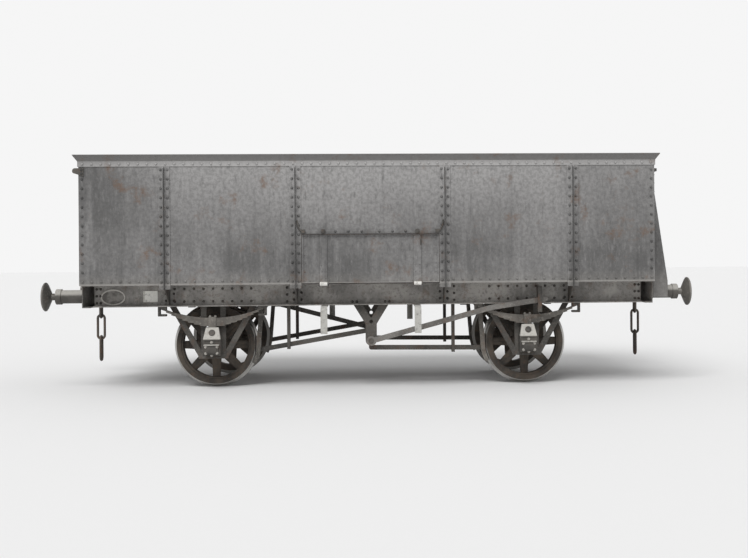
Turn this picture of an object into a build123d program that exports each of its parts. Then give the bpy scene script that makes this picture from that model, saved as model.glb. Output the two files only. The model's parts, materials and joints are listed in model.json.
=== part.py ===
"""Steel coal wagon with drop side doors and a top-hung end door.

Millimetres. X runs along the wagon, -Y is the near side, +Z is up. Z = 0 is the lowest point of
the wheel flanges, and the origin is under the middle of the wagon.
"""
from build123d import *
from math import asin, cos, degrees, hypot, radians, sin, sqrt, tan
import os

os.makedirs("parts", exist_ok=True)

# Wheels and axles
tread_radius = 470
flange_height = 28.5
flange_thickness = 30
flange_round = 8
tread_fall = 4
tyre_width = 127
tyre_depth = 62
rim_depth = 24
rim_setback = 12
back_to_back = 1362
wheelbase = 3658
hub_radius = 140
hub_length = 178
hub_nose = 18
hub_shoulder = 40
spoke_pairs = 8
spoke_width = 24
spoke_depth = 62
spoke_foot_gap = 30
spoke_sink = 8
axle_radius = 70
axle_neck_radius = 66
wheel_seat_radius = 76
journal_radius = 55
journal_centres = 1981
journal_length = 229

# Body plates
body_length = 6553
body_width = 2670
plate = 6
floor_height = 1189
side_height = 1402
coping_leg = 60
coping_rise = 74
coping_flare = 57
coping_thickness = 10
corner_leg = 76
angle_thickness = 8

# Stanchions and fixed-end pillars
stanchion_places = (851, 2324)
stanchion_flange = 130
stanchion_stem = 60
stanchion_thickness = 10
stanchion_foot = 47
pillar_places = (450, 1150)
pillar_flange = 100
pillar_top_depth = 12
pillar_bottom_depth = 196
pillar_drop = 134
pillar_foot = 190
end_rail_height = 35
end_rail_depth = 30

# Side doors
opening_height = 560
door_clearance = 5
strap_thickness = 12
strap_width = 85
strap_place = 535
hinge_pin_radius = 11
hinge_eye_radius = 20
lug_radius = 17
lug_thickness = 12
lug_side_gap = 2
running_clearance = 0.08
door_bar_height = 20
door_bar_depth = 10
lintel_leg = 50
lintel_depth = 40
catch_width = 45
catch_height = 48
catch_depth = 34

# End door
end_bar_drop = 106
end_bar_radius = 19
end_bar_reach = 35.5
end_strip_clearance = 14
end_eye_wall = 12
end_strap_places = (430, 1080)
end_strap_width = 90
end_frame_height = 80
end_door_sweep_room = 7

# Underframe
solebar_depth = 254
solebar_flange = 89
solebar_web = 10
flange_steel = 14
solebar_face = 1092
headstock_half_length = 1219
cross_member_place = 938
member_depth = 229
member_flange = 76
member_web = 9
longitudinal_place = 230
diagonal_inner_y = 350
knee_thickness = 10
knee_drop = 10

# Buffers and draw gear
buffer_spacing = 1740
buffer_height = 1054
buffer_length = 521
buffer_head_radius = 168
buffer_ram_radius = 40
head_neck = 90
head_back = 34
head_edge = 10
head_crown = 16
guide_length = 380
guide_radius = 78
guide_flange_radius = 130
guide_flange_thickness = 22
guide_collar_radius = 90
guide_collar_length = 65
seat_gap = 0.3
hook_thickness = 44
hook_eye_out = 78
hook_eye_radius = 23
hook_throat_out = 150
hook_throat_radius = 28
hook_throat_rise = 18
hook_mouth = 42
hook_body_radius = 62
hook_shank = 56
hook_plate = 200
hook_plate_thickness = 16
link_rod = 30
link_inner_length = 265
link_inner_width = 54

# Axleguards, axleboxes and springs
guard_thickness = 19
horn_gap = 158
horn_width = 65
guard_bottom = 325
guard_tie = 20
wing_width = 65
guard_half_width = 510
guard_root = 170
box_width = 200
box_bottom = 370
box_front = 1165
box_back = 905
box_shoulder = 555
box_top = 694
box_top_width = 145
box_top_depth = 118
box_top_setback = 10
lid_width = 150
lid_top = 489
lid_bottom = 385
lid_depth = 22
groove_clearance = 1
spring_place = 1055
spring_half_span = 585
spring_camber = 115
leaf_count = 8
leaf_thickness = 12
leaf_width = 76
buckle_wall = 12
buckle_length = 90
shoe_length = 59
shoe_depth = 110
shoe_wall = 24
shoe_clearance = 12

# Brake gear and door stops
brake_shaft_height = 520
brake_shaft_radius = 30
brake_plane = 760
tumbler_arm = 105
tumbler_thickness = 24
brake_rod_thickness = 16
brake_rod_width = 56
brake_pin_radius = 16
block_gap = 6
block_thickness = 50
block_width = 80
block_half_angle = 19
block_tilt = 8
hanger_width = 52
hanger_thickness = 14
v_hanger_thickness = 12
v_hanger_rise = 480
v_hanger_spread = 245
v_hanger_arm = 108
v_hanger_crotch = 257
v_hanger_shoulder = 190
v_hanger_half_foot = 66
v_hanger_hole = 22
v_hanger_hole_rise = 216
rod_hanger_width = 38
rod_hanger_bar = 8
rod_hanger_gap = 17
lever_face = 1140
lever_boss_radius = 56
lever_thickness = 16
lever_depth = 62
lever_bend = 1400
lever_bend_radius = 600
lever_end_angle = 8.5
lever_end = 2030
lever_angle = 15
lever_guard_place = 1960
lever_guard_width = 50
lever_guard_bar = 10
lever_guard_reach = 98
stop_width = 77
stop_thickness = 12
stop_bottom = 621
stop_bend = 60

# Levels and faces worked out from the sizes above
rail = flange_height
axle_z = rail + tread_radius
floor_bottom = rail + floor_height
floor_top = floor_bottom + plate
panel_top = floor_bottom + side_height
solebar_bottom = floor_bottom - solebar_depth
half_length = body_length / 2
half_width = body_width / 2
inner_half_width = half_width - plate
axle_x = wheelbase / 2
opening_half = stanchion_places[0] - stanchion_flange / 2
opening_top = floor_top + opening_height
headstock_inner = half_length - solebar_flange
pillar_bottom = floor_bottom - pillar_foot
pillar_top = panel_top - pillar_drop
pillar_height = pillar_top - pillar_bottom
web_outer = solebar_face - solebar_flange + solebar_web
web_inner = solebar_face - solebar_flange
sides = (("near", -1), ("far", 1))
ends = (("left", -1), ("right", 1))

# End door faces, measured from the wagon's middle towards the left end
end_plate_face = half_length - strap_thickness
door_stop_face = end_plate_face - plate - door_clearance
end_bar_x = half_length + end_bar_reach
end_bar_z = panel_top - end_bar_drop
end_strip_bottom = end_bar_z + end_strip_clearance
end_face_inner = half_length - plate


# Floor plate

with BuildPart() as floor_plate:
    floor_length = door_stop_face + end_face_inner
    floor_middle = (end_face_inner - door_stop_face) / 2
    with Locations((floor_middle, 0, floor_bottom + plate / 2)):
        Box(floor_length, 2 * inner_half_width, plate)
floor_plate.part.label = "floor_plate"
export_step(floor_plate.part, "parts/floor_plate.step")


# Side panels beside the door, and the panels over the doors

for side_name, side in sides:
    with BuildPart() as side_panels:
        panel_length = half_length - opening_half
        panel_middle = opening_half + panel_length / 2
        for end_name, end in ends:
            place = (end * panel_middle, side * (half_width - plate / 2), floor_bottom + side_height / 2)
            with Locations(place):
                Box(panel_length, plate, side_height)
    side_panels.part.label = f"side_panels_{side_name}"
    export_step(side_panels.part, f"parts/side_panels_{side_name}.step")

with BuildPart() as over_door_panels:
    over_height = panel_top - opening_top
    for side_name, side in sides:
        with Locations((0, side * (half_width - plate / 2), opening_top + over_height / 2)):
            Box(2 * opening_half, plate, over_height)
over_door_panels.part.label = "over_door_panels"
export_step(over_door_panels.part, "parts/over_door_panels.step")


# Plates of the ends: the whole right end, and the strip over the end door at the left

with BuildPart() as end_plates:
    with Locations((half_length - plate / 2, 0, floor_bottom + side_height / 2)):
        Box(plate, 2 * inner_half_width, side_height)
    strip_height = panel_top - end_strip_bottom
    with Locations((plate / 2 - half_length, 0, end_strip_bottom + strip_height / 2)):
        Box(plate, 2 * inner_half_width, strip_height)
end_plates.part.label = "end_plates"
export_step(end_plates.part, "parts/end_plates.step")


# Flared coping: a riveted upright leg and a leg that leans out, mitred at the corners

coping_lean = hypot(coping_flare, coping_rise)
lean_x = coping_thickness * coping_rise / coping_lean
lean_z = coping_thickness * coping_flare / coping_lean
coping_outline = [
    (0, -coping_leg),
    (coping_thickness, -coping_leg),
    (coping_thickness, 0),
    (coping_flare, coping_rise - lean_z),
    (coping_flare, coping_rise),
    (coping_flare - lean_x, coping_rise),
    (0, 0),
]
# label, outward direction, plate face, half the run along the plate, plane between the two bars
coping_table = (
    ("side_copings", Vector(0, -1, 0), half_width, half_length, Plane.XZ),
    ("end_copings", Vector(-1, 0, 0), half_length, half_width, Plane.YZ),
)
for label, outward, face, half_run, between in coping_table:
    along = outward.cross(Vector(0, 0, 1))
    middle = outward * face + Vector(0, 0, panel_top)
    reach = half_run + coping_flare
    with BuildPart() as coping:
        with BuildSketch(Plane(origin=middle - along * reach, x_dir=outward, z_dir=along)):
            with BuildLine():
                Polyline(*coping_outline, close=True)
            make_face()
        extrude(amount=2 * reach)
        for turn in (-1, 1):
            mitre = Plane(origin=middle + along * half_run * turn, z_dir=outward - along * turn)
            split(bisect_by=mitre, keep=Keep.TOP)
        mirror(about=between)
    coping.part.label = label
    export_step(coping.part, f"parts/{label}.step")


# Corner posts: an angle upright in each corner, and at the left the end door shuts against them

corner_faces = ((-1, door_stop_face), (1, end_face_inner))
with BuildPart() as corner_posts:
    with BuildSketch(Plane.XY.offset(floor_top)):
        for end, face in corner_faces:
            for side_name, side in sides:
                side_leg = (end * (face - corner_leg / 2), side * (inner_half_width - angle_thickness / 2))
                end_leg = (end * (face - angle_thickness / 2), side * (inner_half_width - corner_leg / 2))
                with Locations(side_leg):
                    Rectangle(corner_leg, angle_thickness)
                with Locations(end_leg):
                    Rectangle(angle_thickness, corner_leg)
    extrude(amount=side_height - plate)
corner_posts.part.label = "corner_posts"
export_step(corner_posts.part, "parts/corner_posts.step")


# Curb angles: along the floor's edge inside the panels, and across the foot of the fixed end

with BuildPart() as curb_angles:
    for end, face in corner_faces:
        curb_length = face - corner_leg - opening_half
        curb_middle = end * (opening_half + curb_length / 2)
        for side_name, side in sides:
            flat_leg = (curb_middle, side * (inner_half_width - corner_leg / 2), floor_top + angle_thickness / 2)
            upright_leg = (curb_middle, side * (inner_half_width - angle_thickness / 2), floor_top + corner_leg / 2)
            with Locations(flat_leg):
                Box(curb_length, corner_leg, angle_thickness)
            with Locations(upright_leg):
                Box(curb_length, angle_thickness, corner_leg)
    end_curb_length = 2 * (inner_half_width - corner_leg - door_clearance)
    with Locations((end_face_inner - corner_leg / 2, 0, floor_top + angle_thickness / 2)):
        Box(corner_leg, end_curb_length, angle_thickness)
    with Locations((end_face_inner - angle_thickness / 2, 0, floor_top + corner_leg / 2)):
        Box(angle_thickness, end_curb_length, corner_leg)
curb_angles.part.label = "curb_angles"
export_step(curb_angles.part, "parts/curb_angles.step")


# Side stanchions: T bars outside the panels, from below the floor to the coping's lower edge

stanchion_height = side_height - coping_leg + stanchion_foot
with BuildPart() as side_stanchions:
    with BuildSketch(Plane.XY.offset(floor_bottom - stanchion_foot)):
        for place in stanchion_places:
            for end_name, end in ends:
                for side_name, side in sides:
                    with Locations((end * place, side * (half_width + stanchion_thickness / 2))):
                        Rectangle(stanchion_flange, stanchion_thickness)
                    with Locations((end * place, side * (half_width + stanchion_stem / 2))):
                        Rectangle(stanchion_thickness, stanchion_stem)
    extrude(amount=stanchion_height)
side_stanchions.part.label = "side_stanchions"
export_step(side_stanchions.part, "parts/side_stanchions.step")


# Fixed-end pillars: T bars whose stem deepens downwards, with feet on the headstock

with BuildPart() as end_pillars:
    for place in pillar_places:
        for side_name, side in sides:
            with BuildSketch(Plane.XZ.offset(-side * place)):
                with BuildLine():
                    Polyline(
                        (half_length, pillar_bottom),
                        (half_length + pillar_bottom_depth, pillar_bottom),
                        (half_length + pillar_bottom_depth, floor_bottom),
                        (half_length + pillar_top_depth, pillar_top),
                        (half_length, pillar_top),
                        close=True,
                    )
                make_face()
            extrude(amount=stanchion_thickness / 2, both=True)
            flange_place = (
                half_length + stanchion_thickness / 2,
                side * place,
                pillar_bottom + pillar_height / 2,
            )
            with Locations(flange_place):
                Box(stanchion_thickness, pillar_flange, pillar_height)
end_pillars.part.label = "end_pillars"
export_step(end_pillars.part, "parts/end_pillars.step")


# Rail across the fixed end, over the tops of the pillars

with BuildPart() as end_rail:
    with Locations((half_length + end_rail_depth / 2, 0, pillar_top + end_rail_height / 2)):
        Box(end_rail_depth, body_width, end_rail_height)
end_rail.part.label = "end_rail"
export_step(end_rail.part, "parts/end_rail.step")


# Lintel angles over the side doors

with BuildPart() as door_lintels:
    for side_name, side in sides:
        upright_leg = (0, side * (half_width + angle_thickness / 2), opening_top + lintel_leg / 2)
        flat_leg = (0, side * (half_width + lintel_depth / 2), opening_top + angle_thickness / 2)
        with Locations(upright_leg):
            Box(2 * opening_half, angle_thickness, lintel_leg)
        with Locations(flat_leg):
            Box(2 * opening_half, lintel_depth, angle_thickness)
door_lintels.part.label = "door_lintels"
export_step(door_lintels.part, "parts/door_lintels.step")


# Side door catches: hooked blocks on the lintel over each strap and near each corner

catch_base = opening_top + angle_thickness
corner_catch_place = opening_half - catch_width / 2
with BuildPart() as door_catches:
    for side_name, side in sides:
        inner = side * (half_width + angle_thickness)
        outer = side * (half_width + angle_thickness + catch_depth)
        for end_name, end in ends:
            for place in (strap_place, corner_catch_place):
                with BuildSketch(Plane.YZ.offset(end * place)):
                    with BuildLine():
                        Polyline(
                            (inner, catch_base),
                            (outer, catch_base),
                            (outer, catch_base + catch_height / 2),
                            (inner, catch_base + catch_height),
                            close=True,
                        )
                    make_face()
                extrude(amount=catch_width / 2, both=True)
door_catches.part.label = "door_catches"
export_step(door_catches.part, "parts/door_catches.step")


# Side doors: plate with a stiffening bar along its top edge

door_half = opening_half - door_clearance
door_bottom = floor_top + door_clearance
door_top = opening_top - door_clearance
hinge_y = half_width + hinge_eye_radius
hinge_z = floor_bottom
for side_name, side in sides:
    with BuildPart() as side_door:
        door_height = door_top - door_bottom
        with Locations((0, side * (half_width - plate / 2), door_bottom + door_height / 2)):
            Box(2 * door_half, plate, door_height)
        for end_name, end in ends:
            frame_place = (
                end * (door_half - door_bar_height / 2),
                side * (half_width + door_bar_depth / 2),
                door_bottom + door_height / 2,
            )
            with Locations(frame_place):
                Box(door_bar_height, door_bar_depth, door_height)
    side_door.part.label = f"side_door_{side_name}"
    export_step(side_door.part, f"parts/side_door_{side_name}.step")

    with BuildPart() as side_door_straps:
        for end_name, end in ends:
            with BuildSketch(Plane.YZ.offset(end * strap_place)):
                strap_height = door_top - hinge_z
                with Locations((side * (half_width + strap_thickness / 2), hinge_z + strap_height / 2)):
                    Rectangle(strap_thickness, strap_height)
                with Locations((side * hinge_y, hinge_z)):
                    Circle(hinge_eye_radius)
                    Circle(hinge_pin_radius + running_clearance, mode=Mode.SUBTRACT)
            extrude(amount=strap_width / 2, both=True)
    side_door_straps.part.label = f"side_door_straps_{side_name}"
    export_step(side_door_straps.part, f"parts/side_door_straps_{side_name}.step")


# Side door hinge brackets: lugs under the floor's edge with the pin between them

lug_offset = strap_width / 2 + lug_side_gap + lug_thickness / 2
lug_base_y = inner_half_width - 3 * hinge_eye_radius
with BuildPart() as side_hinge_brackets:
    for side_name, side in sides:
        for end_name, end in ends:
            for lug in (-1, 1):
                with BuildSketch(Plane.YZ.offset(end * strap_place + lug * lug_offset)):
                    with BuildLine():
                        Polyline(
                            (side * lug_base_y, hinge_z),
                            (side * (inner_half_width), hinge_z),
                            (side * hinge_y, hinge_z),
                            (side * hinge_y, hinge_z - lug_radius),
                            (side * lug_base_y, hinge_z - 2 * lug_radius),
                            close=True,
                        )
                    make_face()
                    with Locations((side * hinge_y, hinge_z)):
                        Circle(lug_radius)
                extrude(amount=lug_thickness / 2, both=True)
            with BuildSketch(Plane.YZ.offset(end * strap_place)):
                with Locations((side * hinge_y, hinge_z)):
                    Circle(hinge_pin_radius)
            extrude(amount=lug_offset, both=True)
side_hinge_brackets.part.label = "side_hinge_brackets"
export_step(side_hinge_brackets.part, "parts/side_hinge_brackets.step")


# End door: plate inside the straps, framed by flat bars at its foot and head

end_door_bottom = floor_bottom + end_door_sweep_room
end_door_top = end_bar_z
end_door_height = end_door_top - end_door_bottom
end_door_half_width = inner_half_width - door_clearance
with BuildPart() as end_door:
    with Locations((plate / 2 - end_plate_face, 0, end_door_bottom + end_door_height / 2)):
        Box(plate, 2 * end_door_half_width, end_door_height)
    foot_place = (
        -end_plate_face - strap_thickness / 2,
        0,
        end_door_bottom + end_frame_height / 2,
    )
    with Locations(foot_place):
        Box(strap_thickness, 2 * end_door_half_width, end_frame_height)
end_door.part.label = "end_door"
export_step(end_door.part, "parts/end_door.step")

end_eye_radius = end_bar_radius + end_eye_wall
with BuildPart() as end_door_straps:
    for place in end_strap_places:
        for side_name, side in sides:
            with BuildSketch(Plane.XZ.offset(-side * place)):
                with BuildLine():
                    Polyline(
                        (-end_plate_face, end_door_bottom + end_frame_height),
                        (-end_plate_face, end_bar_z),
                        (-end_bar_x, end_bar_z + end_eye_radius),
                        (-end_bar_x, end_bar_z - end_eye_radius),
                        (-half_length, end_bar_z - 2 * end_eye_radius),
                        (-half_length, end_door_bottom + end_frame_height),
                        close=True,
                    )
                make_face()
                with Locations((-end_bar_x, end_bar_z)):
                    Circle(end_eye_radius)
                    Circle(end_bar_radius + running_clearance, mode=Mode.SUBTRACT)
            extrude(amount=end_strap_width / 2, both=True)
end_door_straps.part.label = "end_door_straps"
export_step(end_door_straps.part, "parts/end_door_straps.step")


# End door bar: a round bar across the end, in a bracket on each side panel and one in the middle

bracket_foot = coping_leg
with BuildPart() as end_door_bar:
    with BuildSketch(Plane.XZ.offset(-half_width)):
        with Locations((-end_bar_x, end_bar_z)):
            Circle(end_bar_radius)
    extrude(amount=2 * half_width)
    for side_name, side in sides:
        with BuildSketch(Plane.XZ.offset(-side * (half_width + strap_thickness / 2))):
            with BuildLine():
                Polyline(
                    (-end_bar_x, end_bar_z + end_eye_radius),
                    (-end_bar_x, end_bar_z - end_eye_radius),
                    (bracket_foot - half_length, end_bar_z - 2 * end_eye_radius),
                    (bracket_foot - half_length, end_bar_z + end_eye_radius),
                    close=True,
                )
            make_face()
            with Locations((-end_bar_x, end_bar_z)):
                Circle(end_eye_radius)
        extrude(amount=strap_thickness / 2, both=True)
    with BuildSketch(Plane.XZ):
        with BuildLine():
            Polyline(
                (-end_bar_x, end_bar_z - end_eye_radius),
                (-end_bar_x, end_bar_z + end_eye_radius),
                (-half_length, panel_top - coping_leg),
                (-half_length, end_strip_bottom),
                close=True,
            )
        make_face()
        with Locations((-end_bar_x, end_bar_z)):
            Circle(end_eye_radius)
    extrude(amount=strap_thickness, both=True)
end_door_bar.part.label = "end_door_bar"
export_step(end_door_bar.part, "parts/end_door_bar.step")


# Solebars: channels with their hollow side outwards, between the headstocks

solebar_middle = floor_bottom - solebar_depth / 2
with BuildPart() as solebars:
    with BuildSketch(Plane.YZ.offset(-headstock_inner)):
        for side_name, side in sides:
            with Locations((side * (web_inner + solebar_flange / 2), solebar_middle)):
                Rectangle(solebar_flange, solebar_depth)
            with Locations((side * (web_outer + solebar_flange / 2), solebar_middle)):
                Rectangle(solebar_flange, solebar_depth - 2 * flange_steel, mode=Mode.SUBTRACT)
    extrude(amount=2 * headstock_inner)
solebars.part.label = "solebars"
export_step(solebars.part, "parts/solebars.step")


# Headstocks: channels across the ends with their flat side outwards

with BuildPart() as headstocks:
    with BuildSketch(Plane.XZ.offset(-headstock_half_length)):
        for end_name, end in ends:
            with Locations((end * (half_length - solebar_flange / 2), solebar_middle)):
                Rectangle(solebar_flange, solebar_depth)
            with Locations((end * (half_length - solebar_web - solebar_flange / 2), solebar_middle)):
                Rectangle(solebar_flange, solebar_depth - 2 * flange_steel, mode=Mode.SUBTRACT)
    extrude(amount=2 * headstock_half_length)
headstocks.part.label = "headstocks"
export_step(headstocks.part, "parts/headstocks.step")


# Cross members between the solebars, with their hollow side towards the ends

member_middle = floor_bottom - member_depth / 2
with BuildPart() as cross_members:
    with BuildSketch(Plane.XZ.offset(-web_inner)):
        for end_name, end in ends:
            with Locations((end * (cross_member_place + member_flange / 2), member_middle)):
                Rectangle(member_flange, member_depth)
            with Locations((end * (cross_member_place + member_web + member_flange / 2), member_middle)):
                Rectangle(member_flange, member_depth - 2 * member_web, mode=Mode.SUBTRACT)
    extrude(amount=2 * web_inner)
cross_members.part.label = "cross_members"
export_step(cross_members.part, "parts/cross_members.step")


# Longitudinals: channels from headstock to cross member and between the cross members

cross_member_back = cross_member_place + member_flange
# start and end of each length along X
longitudinal_runs = (
    (-headstock_inner, -cross_member_back),
    (-cross_member_place, cross_member_place),
    (cross_member_back, headstock_inner),
)
with BuildPart() as longitudinals:
    for start, stop in longitudinal_runs:
        with BuildSketch(Plane.YZ.offset(start)):
            for side_name, side in sides:
                with Locations((side * longitudinal_place, member_middle)):
                    Rectangle(member_flange, member_depth)
                with Locations((side * (longitudinal_place - member_web), member_middle)):
                    Rectangle(member_flange, member_depth - 2 * member_web, mode=Mode.SUBTRACT)
        extrude(amount=stop - start)
longitudinals.part.label = "longitudinals"
export_step(longitudinals.part, "parts/longitudinals.step")


# Diagonals: channels from behind each buffer to the cross member

diagonal_spread = buffer_spacing / 2 - diagonal_inner_y
diagonal_along = Vector(headstock_inner - cross_member_back, diagonal_spread, 0).normalized()
diagonal_start = Vector(cross_member_back, diagonal_inner_y, member_middle) - diagonal_along * member_depth
with BuildPart() as diagonals:
    with BuildSketch(Plane(origin=diagonal_start, x_dir=(0, 0, 1), z_dir=diagonal_along)):
        Rectangle(member_depth, member_flange)
        with Locations((0, member_web)):
            Rectangle(member_depth - 2 * member_web, member_flange, mode=Mode.SUBTRACT)
    extrude(amount=half_length)
    split(bisect_by=Plane.YZ.offset(cross_member_back), keep=Keep.TOP)
    split(bisect_by=Plane.YZ.offset(headstock_inner), keep=Keep.BOTTOM)
    mirror(about=Plane.YZ)
    mirror(about=Plane.XZ)
diagonals.part.label = "diagonals"
export_step(diagonals.part, "parts/diagonals.step")


# Side knees: gussets from the solebar out to the foot of each stanchion

with BuildPart() as side_knees:
    for place in stanchion_places:
        for end_name, end in ends:
            for side_name, side in sides:
                with BuildSketch(Plane.YZ.offset(end * place)):
                    with BuildLine():
                        Polyline(
                            (side * web_outer, floor_bottom - flange_steel),
                            (side * solebar_face, floor_bottom - flange_steel),
                            (side * solebar_face, floor_bottom),
                            (side * half_width, floor_bottom),
                            (side * half_width, floor_bottom - stanchion_foot),
                            (side * solebar_face, solebar_bottom + flange_steel + knee_drop),
                            (side * solebar_face, solebar_bottom + flange_steel),
                            (side * web_outer, solebar_bottom + flange_steel),
                            close=True,
                        )
                    make_face()
                extrude(amount=knee_thickness / 2, both=True)
side_knees.part.label = "side_knees"
export_step(side_knees.part, "parts/side_knees.step")


# Buffer guides: a flanged housing with a collar, bolted to the headstock and bored for the ram

# outwards from the headstock, radius
guide_profile = [
    (0, buffer_ram_radius + seat_gap),
    (0, guide_flange_radius),
    (guide_flange_thickness, guide_flange_radius),
    (guide_flange_thickness, guide_radius),
    (guide_length - guide_collar_length, guide_radius),
    (guide_length - guide_collar_length, guide_collar_radius),
    (guide_length, guide_collar_radius),
    (guide_length, buffer_ram_radius + seat_gap),
]
buffer_z = rail + buffer_height
with BuildPart() as buffer_guides:
    for side_name, side in sides:
        axis = Axis((half_length, side * buffer_spacing / 2, buffer_z), (1, 0, 0))
        with BuildSketch(Plane(origin=axis.position, x_dir=(1, 0, 0), z_dir=(0, -1, 0))):
            with BuildLine():
                Polyline(*guide_profile, close=True)
            make_face()
        revolve(axis=axis)
    mirror(about=Plane.YZ)
buffer_guides.part.label = "buffer_guides"
export_step(buffer_guides.part, "parts/buffer_guides.step")


# Buffer heads: a round face on its ram, which reaches back to the headstock

head_profile = [
    (0, 0),
    (0, buffer_ram_radius),
    (buffer_length - head_neck, buffer_ram_radius),
    (buffer_length - head_back, buffer_head_radius - head_crown),
    (buffer_length - head_back + head_edge, buffer_head_radius),
    (buffer_length - head_edge, buffer_head_radius),
    (buffer_length, buffer_head_radius - head_crown),
    (buffer_length, 0),
]
with BuildPart() as buffer_heads:
    for side_name, side in sides:
        axis = Axis((half_length, side * buffer_spacing / 2, buffer_z), (1, 0, 0))
        with BuildSketch(Plane(origin=axis.position, x_dir=(1, 0, 0), z_dir=(0, -1, 0))):
            with BuildLine():
                Polyline(*head_profile, close=True)
            make_face()
        revolve(axis=axis)
    mirror(about=Plane.YZ)
buffer_heads.part.label = "buffer_heads"
export_step(buffer_heads.part, "parts/buffer_heads.step")


# Drawhooks: a drop-nosed hook with an eye for the top link, on a square plate

with BuildPart() as drawhooks:
    with BuildSketch(Plane.XZ):
        with Locations((half_length + hook_throat_out / 2, buffer_z)):
            Rectangle(hook_throat_out, hook_shank)
        with Locations((half_length + hook_eye_out, buffer_z)):
            Circle(hook_eye_radius + hook_shank / 3)
        with Locations((half_length + hook_throat_out, buffer_z + hook_throat_rise / 2)):
            Circle(hook_body_radius)
        with Locations((half_length + hook_throat_out, buffer_z + hook_throat_rise)):
            Circle(hook_throat_radius, mode=Mode.SUBTRACT)
        mouth_x = half_length + hook_throat_out - hook_throat_radius + hook_mouth / 2
        with Locations((mouth_x, buffer_z + hook_body_radius)):
            Rectangle(hook_mouth, hook_body_radius, mode=Mode.SUBTRACT)
        with Locations((half_length + hook_eye_out, buffer_z)):
            Circle(hook_eye_radius, mode=Mode.SUBTRACT)
    extrude(amount=hook_thickness / 2, both=True)
    with Locations((half_length + hook_plate_thickness / 2, 0, buffer_z)):
        Box(hook_plate_thickness, hook_plate, hook_plate)
    mirror(about=Plane.YZ)
drawhooks.part.label = "drawhooks"
export_step(drawhooks.part, "parts/drawhooks.step")


# Couplings: three links hanging in the drawhook's eye, each turned a quarter from the last

link_bend_radius = (link_inner_width + link_rod) / 2
link_half_straight = (link_inner_length - link_inner_width) / 2
rod_seat_drop = link_bend_radius - sqrt((link_inner_width / 2)**2 - (hook_thickness / 2)**2)
top_rod_z = buffer_z - hook_eye_radius + rod_seat_drop + seat_gap
link_drop = link_inner_length - seat_gap
with BuildPart() as couplings:
    for link in range(3):
        middle_z = top_rod_z - link * link_drop - link_bend_radius - link_half_straight
        facing = (1, 0, 0) if link % 2 == 0 else (0, -1, 0)
        sideways = (0, 1, 0) if link % 2 == 0 else (1, 0, 0)
        link_plane = Plane(origin=(half_length + hook_eye_out, 0, middle_z), x_dir=sideways, z_dir=facing)
        with BuildLine(link_plane) as link_path:
            Line((link_bend_radius, -link_half_straight), (link_bend_radius, link_half_straight))
            CenterArc((0, link_half_straight), link_bend_radius, 0, 180)
            Line((-link_bend_radius, link_half_straight), (-link_bend_radius, -link_half_straight))
            CenterArc((0, -link_half_straight), link_bend_radius, 180, 180)
        with BuildSketch(Plane(origin=link_path.line @ 0, z_dir=(0, 0, 1))):
            Circle(link_rod / 2)
        sweep(path=link_path.wires()[0])
    mirror(about=Plane.YZ)
couplings.part.label = "couplings"
export_step(couplings.part, "parts/couplings.step")


# Axleguards: a plate behind each solebar with two horns, two raking wings and a tie at the foot

guard_top = floor_height - flange_steel - knee_thickness
horn_outer = horn_gap / 2 + horn_width
guard_shoulder = floor_height - solebar_depth + flange_steel
wing_rake = (guard_half_width - guard_root) / (guard_shoulder - guard_bottom - guard_tie)
wing_across = wing_width * sqrt(1 + wing_rake**2)
window_foot = guard_bottom + guard_tie + (horn_outer + wing_across - guard_root) / wing_rake
window_outer = guard_half_width - wing_across
with BuildPart() as axleguards:
    for end_name, end in ends:
        with BuildSketch(Plane(origin=(end * axle_x, web_inner, rail), x_dir=(1, 0, 0), z_dir=(0, -1, 0))):
            with BuildLine():
                Polyline(
                    (-guard_half_width, guard_top),
                    (guard_half_width, guard_top),
                    (guard_half_width, guard_shoulder),
                    (guard_root, guard_bottom + guard_tie),
                    (guard_root, guard_bottom),
                    (-guard_root, guard_bottom),
                    (-guard_root, guard_bottom + guard_tie),
                    (-guard_half_width, guard_shoulder),
                    close=True,
                )
            make_face()
            horn_height = guard_shoulder - guard_bottom - guard_tie
            with Locations((0, guard_bottom + guard_tie + horn_height / 2)):
                Rectangle(horn_gap, horn_height, mode=Mode.SUBTRACT)
            for turn in (-1, 1):
                with BuildLine():
                    Polyline(
                        (turn * horn_outer, window_foot),
                        (turn * horn_outer, guard_shoulder),
                        (turn * window_outer, guard_shoulder),
                        close=True,
                    )
                make_face(mode=Mode.SUBTRACT)
        extrude(amount=guard_thickness)
    mirror(about=Plane.XZ)
axleguards.part.label = "axleguards"
export_step(axleguards.part, "parts/axleguards.step")


# Axleboxes: grooved for the horns, bored for the journal, with a sloping shoulder and a lid in front

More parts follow.
